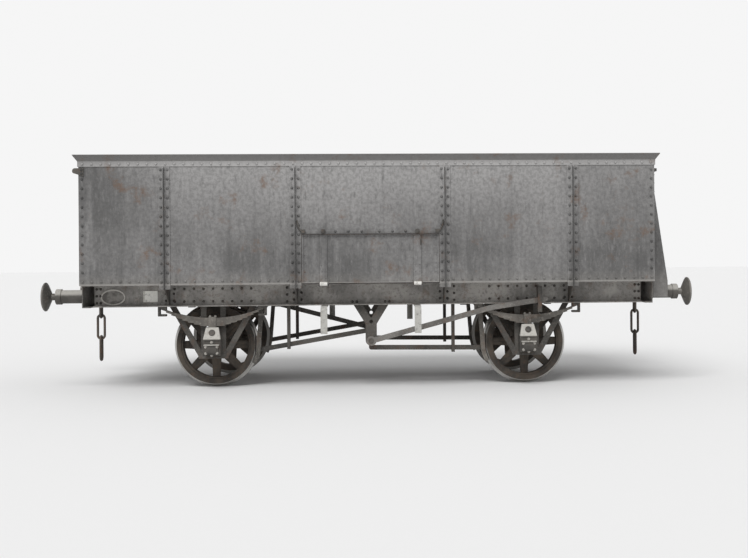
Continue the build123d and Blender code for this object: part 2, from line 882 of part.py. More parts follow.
groove_middle = web_inner - guard_thickness / 2
groove_depth = (box_width - horn_gap) / 2 + groove_clearance
bore_end = (journal_centres + journal_length) / 2 + door_clearance
shoulder_y = (box_front + box_back) / 2
crown_y = spring_place - box_top_setback
with BuildPart() as axleboxes:
    for end_name, end in ends:
        x = end * axle_x
        body_height = box_shoulder - box_bottom
        with Locations((x, shoulder_y, rail + box_bottom + body_height / 2)):
            Box(box_width, box_front - box_back, body_height)
        with BuildSketch(Plane.XY.offset(rail + box_shoulder)):
            with Locations((x, shoulder_y)):
                Rectangle(box_width, box_front - box_back)
        with BuildSketch(Plane.XY.offset(rail + box_top)):
            with Locations((x, crown_y)):
                Rectangle(box_top_width, box_top_depth)
        loft()
        with Locations((x, box_front + lid_depth / 2, rail + (lid_top + lid_bottom) / 2)):
            Box(lid_width, lid_depth, lid_top - lid_bottom)
        for turn in (-1, 1):
            groove_height = box_top - box_bottom
            groove_x = x + turn * (box_width - groove_depth) / 2
            with Locations((groove_x, groove_middle, rail + box_bottom + groove_height / 2)):
                Box(groove_depth, guard_thickness + 2 * groove_clearance, groove_height, mode=Mode.SUBTRACT)
        with BuildSketch(Plane(origin=(x, box_back, axle_z), z_dir=(0, 1, 0))):
            Circle(journal_radius + running_clearance)
        extrude(amount=bore_end - box_back, mode=Mode.SUBTRACT)
    mirror(about=Plane.XZ)
axleboxes.part.label = "axleboxes"
export_step(axleboxes.part, "parts/axleboxes.step")


# Leaf springs: stacked leaves, the longest on top, in a buckle that stands on the axlebox

pack_top = rail + box_top + buckle_wall + leaf_count * leaf_thickness
spring_radius = (spring_half_span**2 + spring_camber**2) / (2 * spring_camber)
spring_half_angle = degrees(asin(spring_half_span / spring_radius))
with BuildPart() as leaf_springs:
    for end_name, end in ends:
        centre = (end * axle_x, pack_top + spring_radius)
        with BuildSketch(Plane.XZ.offset(-spring_place)):
            for leaf in range(leaf_count):
                upper_radius = spring_radius + leaf * leaf_thickness
                leaf_angle = spring_half_angle * (1 - leaf / (leaf_count + 1))
                with BuildLine():
                    upper = CenterArc(centre, upper_radius, 270 - leaf_angle, 2 * leaf_angle)
                    lower = CenterArc(centre, upper_radius + leaf_thickness, 270 - leaf_angle, 2 * leaf_angle)
                    Line(upper @ 0, lower @ 0)
                    Line(upper @ 1, lower @ 1)
                make_face()
        extrude(amount=leaf_width / 2, both=True)
        buckle_height = leaf_count * leaf_thickness + 2 * buckle_wall
        with Locations((end * axle_x, spring_place, rail + box_top + buckle_height / 2)):
            Box(buckle_length, leaf_width + 2 * buckle_wall, buckle_height)
    mirror(about=Plane.XZ)
leaf_springs.part.label = "leaf_springs"
export_step(leaf_springs.part, "parts/leaf_springs.step")


# Spring shoes: C-shaped castings under the solebar that hold the ends of the top leaf


def leaf_top(offset):
    """Height of the top leaf's upper face at `offset` from the axle."""
    return pack_top + spring_radius - sqrt(spring_radius**2 - offset**2)


shoe_inner = spring_half_span - shoe_length
shoe_back = spring_half_span + shoe_clearance
shoe_outer = shoe_back + shoe_wall
shoe_bottom = solebar_bottom - shoe_depth
# along the wagon from the axle, height
shoe_outline = (
    (shoe_inner, leaf_top(shoe_inner)),
    (shoe_inner, solebar_bottom),
    (shoe_outer, solebar_bottom),
    (shoe_outer, shoe_bottom),
    (shoe_inner, shoe_bottom),
    (shoe_inner, shoe_bottom + shoe_wall),
    (shoe_back, shoe_bottom + shoe_wall),
    (shoe_back, leaf_top(spring_half_span)),
    (spring_half_span, leaf_top(spring_half_span)),
)
with BuildPart() as spring_shoes:
    for end_name, end in ends:
        for turn in (-1, 1):
            with BuildSketch(Plane.XZ.offset(-spring_place)):
                with BuildLine():
                    Polyline(*[(end * axle_x + turn * along, height) for along, height in shoe_outline], close=True)
                make_face()
            extrude(amount=leaf_width / 2, both=True)
    mirror(about=Plane.XZ)
spring_shoes.part.label = "spring_shoes"
export_step(spring_shoes.part, "parts/spring_shoes.step")


# Wheelsets: two spoked wheels pressed on an axle with outside journals

wheel_plane = (back_to_back + tyre_width) / 2
tyre_inner = back_to_back / 2
tyre_outer = tyre_inner + tyre_width
rim_radius = tread_radius - tyre_depth - rim_depth
flange_radius = tread_radius + flange_height
# across the wheel, radius
tyre_profile = [
    (tyre_inner, rim_radius),
    (tyre_inner, flange_radius - flange_round),
    (tyre_inner + flange_round, flange_radius),
    (tyre_inner + 2 * flange_round, flange_radius),
    (tyre_inner + flange_thickness + flange_round, tread_radius),
    (tyre_outer, tread_radius - tread_fall),
    (tyre_outer, rim_radius + rim_depth),
    (tyre_outer - rim_setback, rim_radius + rim_depth),
    (tyre_outer - rim_setback, rim_radius),
]
hub_inner = wheel_plane - hub_length / 2
hub_outer = wheel_plane + hub_length / 2
hub_profile = [
    (hub_inner, wheel_seat_radius),
    (hub_inner, hub_radius - hub_nose),
    (hub_inner + hub_shoulder, hub_radius),
    (hub_outer - hub_shoulder, hub_radius),
    (hub_outer, hub_radius - hub_nose),
    (hub_outer, wheel_seat_radius),
]
# each pair of spokes stands apart at the hub and meets at the rim
spoke_inner = hub_radius - spoke_sink
spoke_outer = rim_radius + spoke_sink
spoke_outline = (
    (spoke_inner, spoke_foot_gap / 2),
    (spoke_outer, 0),
    (spoke_outer, spoke_width),
    (spoke_inner, spoke_foot_gap / 2 + spoke_width),
)
journal_inner = (journal_centres - journal_length) / 2
journal_outer = (journal_centres + journal_length) / 2
axle_profile = [
    (0, 0),
    (0, axle_radius),
    (hub_inner, axle_radius),
    (hub_inner, wheel_seat_radius),
    (hub_outer, wheel_seat_radius),
    (hub_outer, axle_neck_radius),
    (journal_inner, axle_neck_radius),
    (journal_inner, journal_radius),
    (journal_outer, journal_radius),
    (journal_outer, 0),
]
for end_name, end in ends:
    axis = Axis((end * axle_x, 0, axle_z), (0, 1, 0))
    section_plane = Plane(origin=axis.position, x_dir=(0, 1, 0), z_dir=(1, 0, 0))
    with BuildPart() as wheels:
        for profile in (tyre_profile, hub_profile):
            with BuildSketch(section_plane):
                with BuildLine():
                    Polyline(*profile, close=True)
                make_face()
            revolve(axis=axis)
        spoke_start = wheel_plane - spoke_depth / 2
        with BuildSketch(Plane(origin=(end * axle_x, spoke_start, axle_z), x_dir=(1, 0, 0), z_dir=(0, 1, 0))):
            with PolarLocations(0, spoke_pairs):
                Polygon(*spoke_outline, align=None)
                Polygon(*[(out, -across) for out, across in spoke_outline], align=None)
        extrude(amount=spoke_depth)
        mirror(about=Plane.XZ)
    wheels.part.label = f"wheels_{end_name}"
    export_step(wheels.part, f"parts/wheels_{end_name}.step")

    with BuildPart() as axle:
        with BuildSketch(section_plane):
            with BuildLine():
                Polyline(*axle_profile, close=True)
            make_face()
        revolve(axis=axis)
        mirror(about=Plane.XZ)
    axle.part.label = f"axle_{end_name}"
    export_step(axle.part, f"parts/axle_{end_name}.step")


# Brake hangers: a forked plate behind each solebar with the cross shaft's bearing at its foot

shaft_z = rail + brake_shaft_height
# along the wagon, height over the shaft
v_hanger_outline = (
    (v_hanger_half_foot, 0),
    (v_hanger_half_foot, v_hanger_shoulder),
    (v_hanger_spread, v_hanger_rise),
    (v_hanger_spread - v_hanger_arm, v_hanger_rise),
    (0, v_hanger_crotch),
)
with BuildPart() as brake_v_hangers:
    with BuildSketch(Plane(origin=(0, -web_inner, shaft_z), x_dir=(-1, 0, 0), z_dir=(0, 1, 0))):
        for turn in (-1, 1):
            with BuildLine():
                Polyline((0, 0), *[(turn * along, height) for along, height in v_hanger_outline], close=True)
            make_face()
        Circle(v_hanger_half_foot)
        Circle(brake_shaft_radius + seat_gap, mode=Mode.SUBTRACT)
        with Locations((0, v_hanger_hole_rise)):
            Circle(v_hanger_hole, mode=Mode.SUBTRACT)
    extrude(amount=v_hanger_thickness)
    mirror(about=Plane.XZ)
brake_v_hangers.part.label = "brake_v_hangers"
export_step(brake_v_hangers.part, "parts/brake_v_hangers.step")


# Brake shaft: crosses the wagon, with a two-armed tumbler and its pins in each wheel's plane

tumbler_face = brake_plane - brake_rod_thickness / 2 - seat_gap
shaft_half_length = lever_face + lever_thickness + door_clearance
with BuildPart() as brake_shaft:
    with BuildSketch(Plane.XZ.offset(-shaft_half_length)):
        with Locations((0, shaft_z)):
            Circle(brake_shaft_radius)
    extrude(amount=2 * shaft_half_length)
    for side_name, side in sides:
        with BuildSketch(Plane(origin=(0, side * tumbler_face, 0), x_dir=(side, 0, 0), z_dir=(0, -side, 0))):
            with BuildLine():
                Line((0, shaft_z - tumbler_arm), (0, shaft_z + tumbler_arm))
            trace(line_width=brake_rod_width)
            with Locations((0, shaft_z)):
                Circle(2 * brake_shaft_radius)
            with Locations((0, shaft_z - tumbler_arm), (0, shaft_z + tumbler_arm)):
                Circle(brake_rod_width / 2)
        extrude(amount=tumbler_thickness)
        with BuildSketch(Plane(origin=(0, side * tumbler_face, 0), x_dir=(-side, 0, 0), z_dir=(0, side, 0))):
            with Locations((0, shaft_z - tumbler_arm), (0, shaft_z + tumbler_arm)):
                Circle(brake_pin_radius)
        extrude(amount=2 * brake_rod_thickness)
brake_shaft.part.label = "brake_shaft"
export_step(brake_shaft.part, "parts/brake_shaft.step")


# Brake rods: from the tumbler's pins to the backs of the blocks

block_face_radius = tread_radius + block_gap
block_back_radius = block_face_radius + block_thickness
block_reach = (block_face_radius + block_back_radius) / 2
with BuildPart() as brake_rods:
    for end_name, end in ends:
        pin = (0, shaft_z - end * tumbler_arm)
        block_angle = radians(block_tilt)
        block_end = (end * (axle_x - block_reach * cos(block_angle)), axle_z - block_reach * sin(block_angle))
        with BuildSketch(Plane(origin=(0, -brake_plane, 0), x_dir=(1, 0, 0), z_dir=(0, -1, 0))):
            with BuildLine():
                Line(pin, block_end)
            trace(line_width=brake_rod_width)
            with Locations(pin):
                Circle(brake_rod_width / 2)
                Circle(brake_pin_radius + seat_gap, mode=Mode.SUBTRACT)
            with Locations((end * axle_x, axle_z)):
                Circle(block_back_radius + seat_gap, mode=Mode.SUBTRACT)
        extrude(amount=brake_rod_thickness / 2, both=True)
    mirror(about=Plane.XZ)
brake_rods.part.label = "brake_rods"
export_step(brake_rods.part, "parts/brake_rods.step")


# Rod hangers: a loop of flat bar under each cross member that would catch a fallen brake rod

rod_hanger_x = cross_member_place + member_flange / 2
rod_hanger_top = floor_bottom - member_depth
rod_hanger_inner = brake_rod_thickness / 2 + rod_hanger_gap
rod_hanger_outer = rod_hanger_inner + rod_hanger_bar
with BuildPart() as rod_hangers:
    for end_name, end in ends:
        pin_z = shaft_z - end * tumbler_arm
        block_end_z = axle_z - block_reach * sin(radians(block_tilt))
        block_end_x = axle_x - block_reach * cos(radians(block_tilt))
        rod_z = pin_z + (block_end_z - pin_z) * rod_hanger_x / block_end_x
        loop_bottom = rod_z - brake_rod_width / 2 - rod_hanger_gap - rod_hanger_bar
        with BuildSketch(Plane.YZ.offset(end * rod_hanger_x)):
            with Locations((-brake_plane, (rod_hanger_top + loop_bottom) / 2)):
                Rectangle(2 * rod_hanger_outer, rod_hanger_top - loop_bottom)
            with Locations((-brake_plane, (rod_hanger_top + loop_bottom) / 2 + rod_hanger_bar)):
                Rectangle(2 * rod_hanger_inner, rod_hanger_top - loop_bottom, mode=Mode.SUBTRACT)
        extrude(amount=rod_hanger_width / 2, both=True)
    mirror(about=Plane.XZ)
rod_hangers.part.label = "rod_hangers"
export_step(rod_hangers.part, "parts/rod_hangers.step")


# Brake blocks: shoes round the inner side of each wheel, on hangers from the solebar

hanger_x = axle_x - guard_half_width - hanger_width / 2 - door_clearance
hanger_top = solebar_bottom + 2 * flange_steel
hanger_y = brake_plane + block_width / 2
block_x = axle_x - block_reach * cos(radians(block_tilt))
block_z = axle_z - block_reach * sin(radians(block_tilt))
with BuildPart() as brake_blocks:
    for end_name, end in ends:
        middle_angle = 180 + block_tilt if end > 0 else -block_tilt
        centre = (end * axle_x, axle_z)
        with BuildSketch(Plane(origin=(0, -brake_plane, 0), x_dir=(1, 0, 0), z_dir=(0, -1, 0))):
            with BuildLine():
                start_angle = middle_angle - block_half_angle
                face = CenterArc(centre, block_face_radius, start_angle, 2 * block_half_angle)
                back = CenterArc(centre, block_back_radius, start_angle, 2 * block_half_angle)
                Line(face @ 0, back @ 0)
                Line(face @ 1, back @ 1)
            make_face()
        extrude(amount=block_width / 2, both=True)
        with BuildSketch(Plane(origin=(0, -hanger_y, 0), x_dir=(1, 0, 0), z_dir=(0, -1, 0))):
            with BuildLine():
                Line((end * hanger_x, hanger_top), (end * block_x, block_z))
            trace(line_width=hanger_width)
            with Locations((end * block_x, block_z)):
                Circle(hanger_width / 2)
        extrude(amount=hanger_thickness)
        arm_length = web_inner - hanger_y
        arm_place = (end * hanger_x, -hanger_y - arm_length / 2, hanger_top - hanger_width / 2)
        with Locations(arm_place):
            Box(hanger_width, arm_length, hanger_thickness)
    mirror(about=Plane.XZ)
brake_blocks.part.label = "brake_blocks"
export_step(brake_blocks.part, "parts/brake_blocks.step")


# Hand levers: a long flat bar on each side, rising to the right as seen from that side

lever_knee = (lever_bend, shaft_z + lever_bend * tan(radians(lever_angle)))
lever_tip = (lever_end, lever_knee[1] + (lever_end - lever_bend) * tan(radians(lever_end_angle)))
with BuildPart() as hand_levers:
    for side_name, side in sides:
        lever_plane = Plane(origin=(0, side * lever_face, 0), x_dir=(-side, 0, 0), z_dir=(0, side, 0))
        with BuildSketch(lever_plane):
            with BuildLine():
                FilletPolyline((0, shaft_z), lever_knee, lever_tip, radius=lever_bend_radius)
            trace(line_width=lever_depth)
            with Locations(lever_tip):
                Circle(lever_depth / 2)
            with Locations((0, shaft_z)):
                Circle(lever_boss_radius)
                Circle(brake_shaft_radius + seat_gap, mode=Mode.SUBTRACT)
        extrude(amount=lever_thickness)
hand_levers.part.label = "hand_levers"
export_step(hand_levers.part, "parts/hand_levers.step")


# Lever guards: a closed frame of flat bar on the solebar round each lever's outer end

guard_frame_top = floor_bottom - stanchion_foot
guard_frame_foot = solebar_bottom - lever_guard_reach
with BuildPart() as lever_guards:
    for side_name, side in sides:
        inner = side * solebar_face
        outer = side * (solebar_face + lever_guard_reach)
        with BuildSketch(Plane.YZ.offset(-side * lever_guard_place)):
            with BuildLine():
                Polyline(
                    (inner, guard_frame_top),
                    (outer, guard_frame_top),
                    (outer, guard_frame_foot),
                    (inner, solebar_bottom),
                    close=True,
                )
            make_face()
            offset(amount=-lever_guard_bar, kind=Kind.INTERSECTION, mode=Mode.SUBTRACT)
        extrude(amount=lever_guard_width / 2, both=True)
lever_guards.part.label = "lever_guards"
export_step(lever_guards.part, "parts/lever_guards.step")


# Door stops: bent flat bars under the solebar whose upright pads the dropped doors lie against

stop_face = 2 * hinge_y - half_width - strap_thickness - door_clearance
with BuildPart() as door_stops:
    for end_name, end in ends:
        with BuildSketch(Plane.YZ.offset(end * strap_place)):
            with BuildLine():
                pad_y = stop_face - stop_thickness / 2
                arm_z = solebar_bottom - stop_thickness / 2
                FilletPolyline((web_outer, arm_z), (pad_y, arm_z), (pad_y, rail + stop_bottom), radius=stop_bend)
            trace(line_width=stop_thickness)
        extrude(amount=stop_width / 2, both=True)
    mirror(about=Plane.XZ)
door_stops.part.label = "door_stops"
export_step(door_stops.part, "parts/door_stops.step")
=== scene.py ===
"""Looks of the steel coal wagon: rivets, plates, springs, wheels, paint, light and camera.

Metres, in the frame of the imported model: X along the wagon, -Y the near side, +Z up.
"""
import json
from math import asin, cos, pi, radians, sin

import bmesh
import bpy
from mathutils import Matrix, Vector


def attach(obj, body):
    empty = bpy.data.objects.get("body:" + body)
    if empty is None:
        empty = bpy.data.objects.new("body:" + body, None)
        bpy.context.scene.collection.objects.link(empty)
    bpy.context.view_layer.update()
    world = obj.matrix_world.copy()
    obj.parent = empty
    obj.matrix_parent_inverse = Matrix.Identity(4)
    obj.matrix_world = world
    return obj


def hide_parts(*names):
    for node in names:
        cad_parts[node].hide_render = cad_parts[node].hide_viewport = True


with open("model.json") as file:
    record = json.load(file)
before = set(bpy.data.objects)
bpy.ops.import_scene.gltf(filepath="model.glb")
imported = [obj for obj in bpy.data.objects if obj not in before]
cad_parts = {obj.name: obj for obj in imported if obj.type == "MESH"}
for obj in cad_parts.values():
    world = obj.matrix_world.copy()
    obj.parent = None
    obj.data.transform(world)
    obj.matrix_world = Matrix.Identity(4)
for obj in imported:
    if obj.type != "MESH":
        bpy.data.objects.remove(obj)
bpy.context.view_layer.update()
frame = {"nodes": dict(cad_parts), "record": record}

# Body: outer faces, levels and the places of its posts
half_length = 3.2765
half_width = 1.335
panel_inside = half_width - 0.006
lintel_face = half_width + 0.008
stanchion_face = half_width + 0.010
end_flange_face = half_length + 0.010
floor_bottom = 1.2175
panel_top = 2.6195
opening_half = 0.786
opening_top = 1.7835
stanchion_places = (0.851, 2.324)
pillar_places = (0.45, 1.15)
pillar_bottom = floor_bottom - 0.190
pillar_top = panel_top - 0.134

# Doors
door_bottom = 1.2285
door_top = 1.7785
strap_place = 0.535
strap_face = half_width + 0.012
stop_top_shut = 1.4715  # above this the dropped door's straps lie on the stops
end_door_bottom = 1.2245
end_strap_places = (0.43, 1.08)
end_bar_z = 2.5135

# Underframe, buffers and running gear
solebar_web = 1.013
buffer_y = 0.870
buffer_z = 1.0825
axle_x = 1.829
axle_z = 0.4985
tread_radius = 0.470
wheel_plane = 0.7445
box_front = 1.165
lid_face = 1.187
spring_y = 1.055
spring_base = 0.7225
spring_half_span = 0.585
spring_camber = 0.115
leaf_count = 8
leaf_thickness = 0.012
leaf_width = 0.076
pack_top = spring_base + 0.012 + leaf_count * leaf_thickness

both = (-1, 1)
sides = {"near": -1, "far": 1}
ends = {"left": -1, "right": 1}
corners = [(end, side) for end in both for side in both]

# Rows of rivets: levels, places, half the space between a pair of rows, and what they keep clear
rivet_pitch = 0.102
coping_row = panel_top - 0.030
bottom_row = floor_bottom + 0.046
lintel_row = opening_top + 0.033
corner_foot = floor_bottom + 0.150
side_corner = half_length - 0.038
end_corner = half_width - 0.044
coping_margin = 0.045
stanchion_gauge = 0.038
stanchion_clear = 0.082
pillar_gauge = 0.032
pillar_clear = 0.066
knee_gauge = 0.045
strap_gauge = 0.024
strap_clear = 0.056
end_strap_gauge = 0.026

merge_gap = 1e-5
smooth_under = radians(38)


# Painting: small steps that every finish is put together from

class Finish:
    """A procedural material whose patterns read Object coordinates."""

    def __init__(self, name):
        self.material = bpy.data.materials.new(name)
        self.material.use_nodes = True
        self.tree = self.material.node_tree
        self.tree.nodes.clear()
        output = self.tree.nodes.new("ShaderNodeOutputMaterial")
        self.shader = self.tree.nodes.new("ShaderNodeBsdfPrincipled")
        self.tree.links.new(self.shader.outputs["BSDF"], output.inputs["Surface"])
        self.coordinates = self.tree.nodes.new("ShaderNodeTexCoord").outputs["Object"]
        split = self.step("ShaderNodeSeparateXYZ", {"Vector": self.coordinates})
        self.x, self.y, self.z = split.outputs

    def feed(self, socket, value):
        """Links another node's output to the socket, or sets a number or colour on it."""
        if isinstance(value, bpy.types.NodeSocket):
            self.tree.links.new(value, socket)
        elif socket.type == "RGBA":
            socket.default_value = (*value, 1.0)
        else:
            socket.default_value = value

    def step(self, kind, sockets, **settings):
        """Adds a node with these settings and feeds its sockets."""
        node = self.tree.nodes.new(kind)
        for key, value in settings.items():
            setattr(node, key, value)
        for key, value in sockets.items():
            self.feed(node.inputs[key], value)
        return node

    def reckon(self, operation, first, second=0.0):
        """The result of one of the Math node's operations."""
        return self.step("ShaderNodeMath", {0: first, 1: second}, operation=operation).outputs[0]

    def product(self, first, *others):
        for other in others:
            first = self.reckon("MULTIPLY", first, other)
        return first

    def over(self, value, level):
        """1 where the value is above the level, else 0."""
        return self.reckon("GREATER_THAN", value, level)

    def under(self, value, level):
        """1 where the value is below the level, else 0."""
        return self.reckon("LESS_THAN", value, level)

    def unsigned(self, value):
        return self.reckon("ABSOLUTE", value)

    def distance(self, along, up):
        squares = self.reckon("ADD", self.product(along, along), self.product(up, up))
        return self.reckon("SQRT", squares)

    def noise(self, scale, detail, roughness=0.55, stretch=None):
        place = self.coordinates
        if stretch is not None:
            place = self.step("ShaderNodeMapping", {"Vector": place, "Scale": stretch}).outputs[0]
        sockets = {"Vector": place, "Scale": scale, "Detail": detail, "Roughness": roughness}
        return self.step("ShaderNodeTexNoise", sockets).outputs["Fac"]

    def between(self, value, low, high, to_low=0.0, to_high=1.0):
        """Maps low..high to to_low..to_high, smooth and clamped."""
        sockets = {
            "Value": value, "From Min": low, "From Max": high, "To Min": to_low, "To Max": to_high,
        }
        mapped = self.step("ShaderNodeMapRange", sockets, interpolation_type="SMOOTHSTEP")
        return mapped.outputs["Result"]

    def blend(self, amount, first, second):
        """The first colour at an amount of 0, the second at 1."""
        node = self.step("ShaderNodeMix", {}, data_type="RGBA")
        used = {socket.name: socket for socket in node.inputs if socket.enabled}
        for key, value in (("Factor", amount), ("A", first), ("B", second)):
            self.feed(used[key], value)
        return next(socket for socket in node.outputs if socket.enabled)

    def bump(self, height, distance, strength, normal=None):
        sockets = {"Height": height, "Distance": distance, "Strength": strength}
        if normal is not None:
            sockets["Normal"] = normal
        return self.step("ShaderNodeBump", sockets).outputs["Normal"]

    def done(self, colour, roughness, metallic=0.0, normal=None, specular=0.35):
        values = {
            "Base Color": colour, "Roughness": roughness, "Metallic": metallic,
            "Specular IOR Level": specular,
        }
        if normal is not None:
            values["Normal"] = normal
        for key, value in values.items():
            self.feed(self.shader.inputs[key], value)
        return self.material


def shade(colour, amount):
    """The colour made darker or lighter."""
    return tuple(amount * part for part in colour)


rust_brown = (0.125, 0.064, 0.036)
chalk_white = (0.66, 0.65, 0.61)
body_grey = (0.158, 0.155, 0.153)


def painted_plate(name, grey, highlight_below=None):
    """Dull paint on rolled plate, streaked, dusty and rusting, with painted highlights and painted
    shade, and worn bare inside the body.
    """
    f = Finish(name)
    broad = f.noise(0.85, 3.0)
    streak = f.noise(1.0, 4.0, stretch=(9.0, 9.0, 0.45))
    short = f.noise(1.0, 4.0, 0.65, stretch=(24.0, 24.0, 6.5))
    grain = f.noise(24.0, 6.0, 0.65)
    specks = f.noise(95.0, 2.0)

    # Faded paint with long and short streaks, and a painted highlight that makes it palest high up
    # on the middle panels
    paint = f.blend(f.between(broad, 0.32, 0.68), shade(grey, 0.66), shade(grey, 1.30))
    # Painted highlight: light from above, strongest high up on the middle panels and fading
    # towards both ends
    left = f.between(f.x, -3.2, -1.9)
    right = f.between(f.x, 1.6, 3.2, 1.0, 0.45)
    high = f.between(f.z, 1.45, 2.75)
    paint = f.blend(f.product(left, right, high, 0.75), paint, shade(grey, 2.5))
    paint = f.blend(f.between(streak, 0.45, 0.75, 0.0, 0.50), paint, shade(grey, 1.7))
    paint = f.blend(f.between(streak, 0.44, 0.24, 0.0, 0.50), paint, shade(grey, 0.45))
    paint = f.blend(f.between(short, 0.50, 0.74, 0.0, 0.36), paint, shade(grey, 2.0))
    paint = f.blend(f.between(short, 0.48, 0.26, 0.0, 0.50), paint, shade(grey, 0.45))
    paint = f.blend(f.between(grain, 0.40, 0.62, 0.0, 0.34), paint, shade(grey, 0.52))

    # Dust along the bottom, and a painted highlight along the bottom edge
    dust_edge = f.reckon("ADD", f.z, f.product(grain, 0.10))
    dust = f.between(dust_edge, floor_bottom + 0.05, floor_bottom + 0.22, 0.22, 0.0)
    paint = f.blend(dust, paint, (0.24, 0.225, 0.20))
    # Painted highlight: a pale line along the lit bottom edge of the plates
    rim = f.between(f.z, floor_bottom + 0.016, floor_bottom + 0.022, 0.50, 0.0)
    rim = f.product(rim, f.over(f.z, floor_bottom - 0.004))
    rim = f.product(rim, f.under(f.unsigned(f.x), half_length + 0.012))
    paint = f.blend(f.product(rim, grain), paint, (0.50, 0.48, 0.45))

    # Painted highlight on the coping leg, painted shade on the stanchion webs and on the coping's
    # flared lip
    leg = f.over(f.z, panel_top - 0.062)
    paint = f.blend(f.product(leg, 0.62), paint, shade(grey, 2.6))
    # Painted shade on the stanchion webs, for the shadow of the projecting fin
    web = f.over(f.unsigned(f.y), stanchion_face + 0.0145)
    web = f.product(web, f.under(f.z, panel_top - 0.080))
    paint = f.blend(f.product(web, 0.80), paint, shade(grey, 0.34))
    # Painted shade on the flared lip, which faces down and out
    flare = f.between(f.z, panel_top - 0.003, panel_top + 0.004, 0.0, 0.60)
    paint = f.blend(flare, paint, (0.055, 0.053, 0.050))

    # Patches of rust, and pale specks
    rust_spread = f.product(f.between(f.noise(3.2, 5.0, 0.7), 0.56, 0.74), 0.75)
    rust = f.blend(f.between(grain, 0.35, 0.65), (0.105, 0.058, 0.035), (0.175, 0.105, 0.065))
    paint = f.blend(rust_spread, paint, rust)
    paint = f.blend(f.between(specks, 0.66, 0.74, 0.0, 0.6), paint, (0.30, 0.29, 0.27))

    # Inside the body: bare steel, rusty where it lies still and scoured where coal slides
    patches = f.noise(2.6, 5.0, 0.65)
    bare = f.blend(f.between(grain, 0.35, 0.65), (0.042, 0.037, 0.034), (0.105, 0.083, 0.068))
    bare = f.blend(f.between(patches, 0.48, 0.66, 0.0, 0.65), bare, (0.140, 0.094, 0.066))
    bare = f.blend(f.between(patches, 0.44, 0.30, 0.0, 0.45), bare, (0.180, 0.168, 0.155))
    bare = f.blend(f.between(f.z, 1.9, floor_bottom, 0.0, 0.45), bare, (0.050, 0.046, 0.043))
    inside = f.product(
        f.under(f.unsigned(f.y), half_width - 0.003), f.over(f.z, floor_bottom + 0.005),
        f.under(f.x, half_length - 0.003), f.over(f.x, -half_length + 0.015),
    )
    colour = f.blend(inside, paint, bare)

    # Painted highlight below the given level, for the strap eyes lit from above
    if highlight_below is not None:
        painted_highlight = f.blend(f.between(grain, 0.45, 0.70), (0.70, 0.69, 0.66), (0.36, 0.34, 0.31))
        colour = f.blend(f.under(f.z, highlight_below), colour, painted_highlight)
    waves = f.bump(f.noise(1.6, 1.0), 0.030, 0.5)
    pitted = f.bump(f.noise(60.0, 5.0, 0.7), 0.0022, 0.55, waves)
    rough = f.between(grain, 0.3, 0.7, 0.62, 0.86)
    return f.done(colour, rough, normal=pitted, specular=0.30)


def grimy_steel(name, dark, light, rust_amount, roughness=0.74, metallic=0.0):
    """Dark steel or iron under brake dust and rust, pitted."""
    f = Finish(name)
    broad = f.noise(2.2, 4.0)
    grain = f.noise(38.0, 6.0, 0.68)
    colour = f.blend(f.between(broad, 0.34, 0.66), dark, light)
    colour = f.blend(f.between(grain, 0.48, 0.72, 0.0, 0.55), colour, shade(light, 1.9))
    rust = f.between(f.noise(7.0, 6.0, 0.72), 0.50, 0.70, 0.0, rust_amount)
    colour = f.blend(rust, colour, rust_brown)
    pitted = f.bump(f.noise(85.0, 5.0, 0.7), 0.0020, 0.6)
    rough = f.between(grain, 0.3, 0.7, roughness - 0.10, roughness + 0.10)
    return f.done(colour, rough, metallic, pitted)


def chalky_white(name, brightness=0.66):
    """Old white paint, stained and streaked."""
    f = Finish(name)
    grain = f.noise(30.0, 6.0, 0.7)
    streak = f.noise(2.0, 4.0, stretch=(8.0, 8.0, 0.8))
    clean = shade(chalk_white, brightness)
    colour = f.blend(f.between(grain, 0.46, 0.72), clean, shade(clean, 0.45))
    colour = f.blend(f.between(streak, 0.50, 0.75, 0.0, 0.55), colour, (0.26, 0.23, 0.19))
    return f.done(colour, 0.8, normal=f.bump(grain, 0.0015, 0.6), specular=0.30)


def solebar_with_painted_light(name, patch_x=2.84, patch_z=1.10):
    """Dark paint made lighter than the frame paint as painted light where the body's overhang
    shades the solebar, with a soft rubbed patch near the right end of the near solebar.
    """
    f = Finish(name)
    broad = f.noise(2.4, 4.0)
    grain = f.noise(34.0, 6.0, 0.68)
    short = f.noise(1.0, 3.0, stretch=(13.0, 13.0, 5.0))
    # Painted light: both tones are several times lighter than the frame paint's, for the light
    # lost in the overhang's shade
    dark, light = (0.225, 0.216, 0.204), (0.400, 0.383, 0.361)
    colour = f.blend(f.between(broad, 0.34, 0.66), dark, light)
    colour = f.blend(f.between(short, 0.50, 0.72, 0.0, 0.5), colour, (0.470, 0.450, 0.420))
    colour = f.blend(f.between(grain, 0.46, 0.68, 0.0, 0.55), colour, (0.110, 0.104, 0.096))
    along = f.product(f.reckon("SUBTRACT", f.x, patch_x), 0.55)
    out = f.distance(along, f.reckon("SUBTRACT", f.z, patch_z))
    patch = f.product(f.between(out, 0.010, 0.085, 0.5, 0.0), f.under(f.y, -1.0))
    colour = f.blend(patch, colour, (0.52, 0.50, 0.47))
    rust = f.between(f.noise(7.0, 6.0, 0.72), 0.52, 0.72, 0.0, 0.55)
    colour = f.blend(rust, colour, (0.150, 0.085, 0.052))
    pitted = f.bump(f.noise(80.0, 5.0, 0.7), 0.0022, 0.6)
    return f.done(colour, 0.8, normal=pitted, specular=0.3)


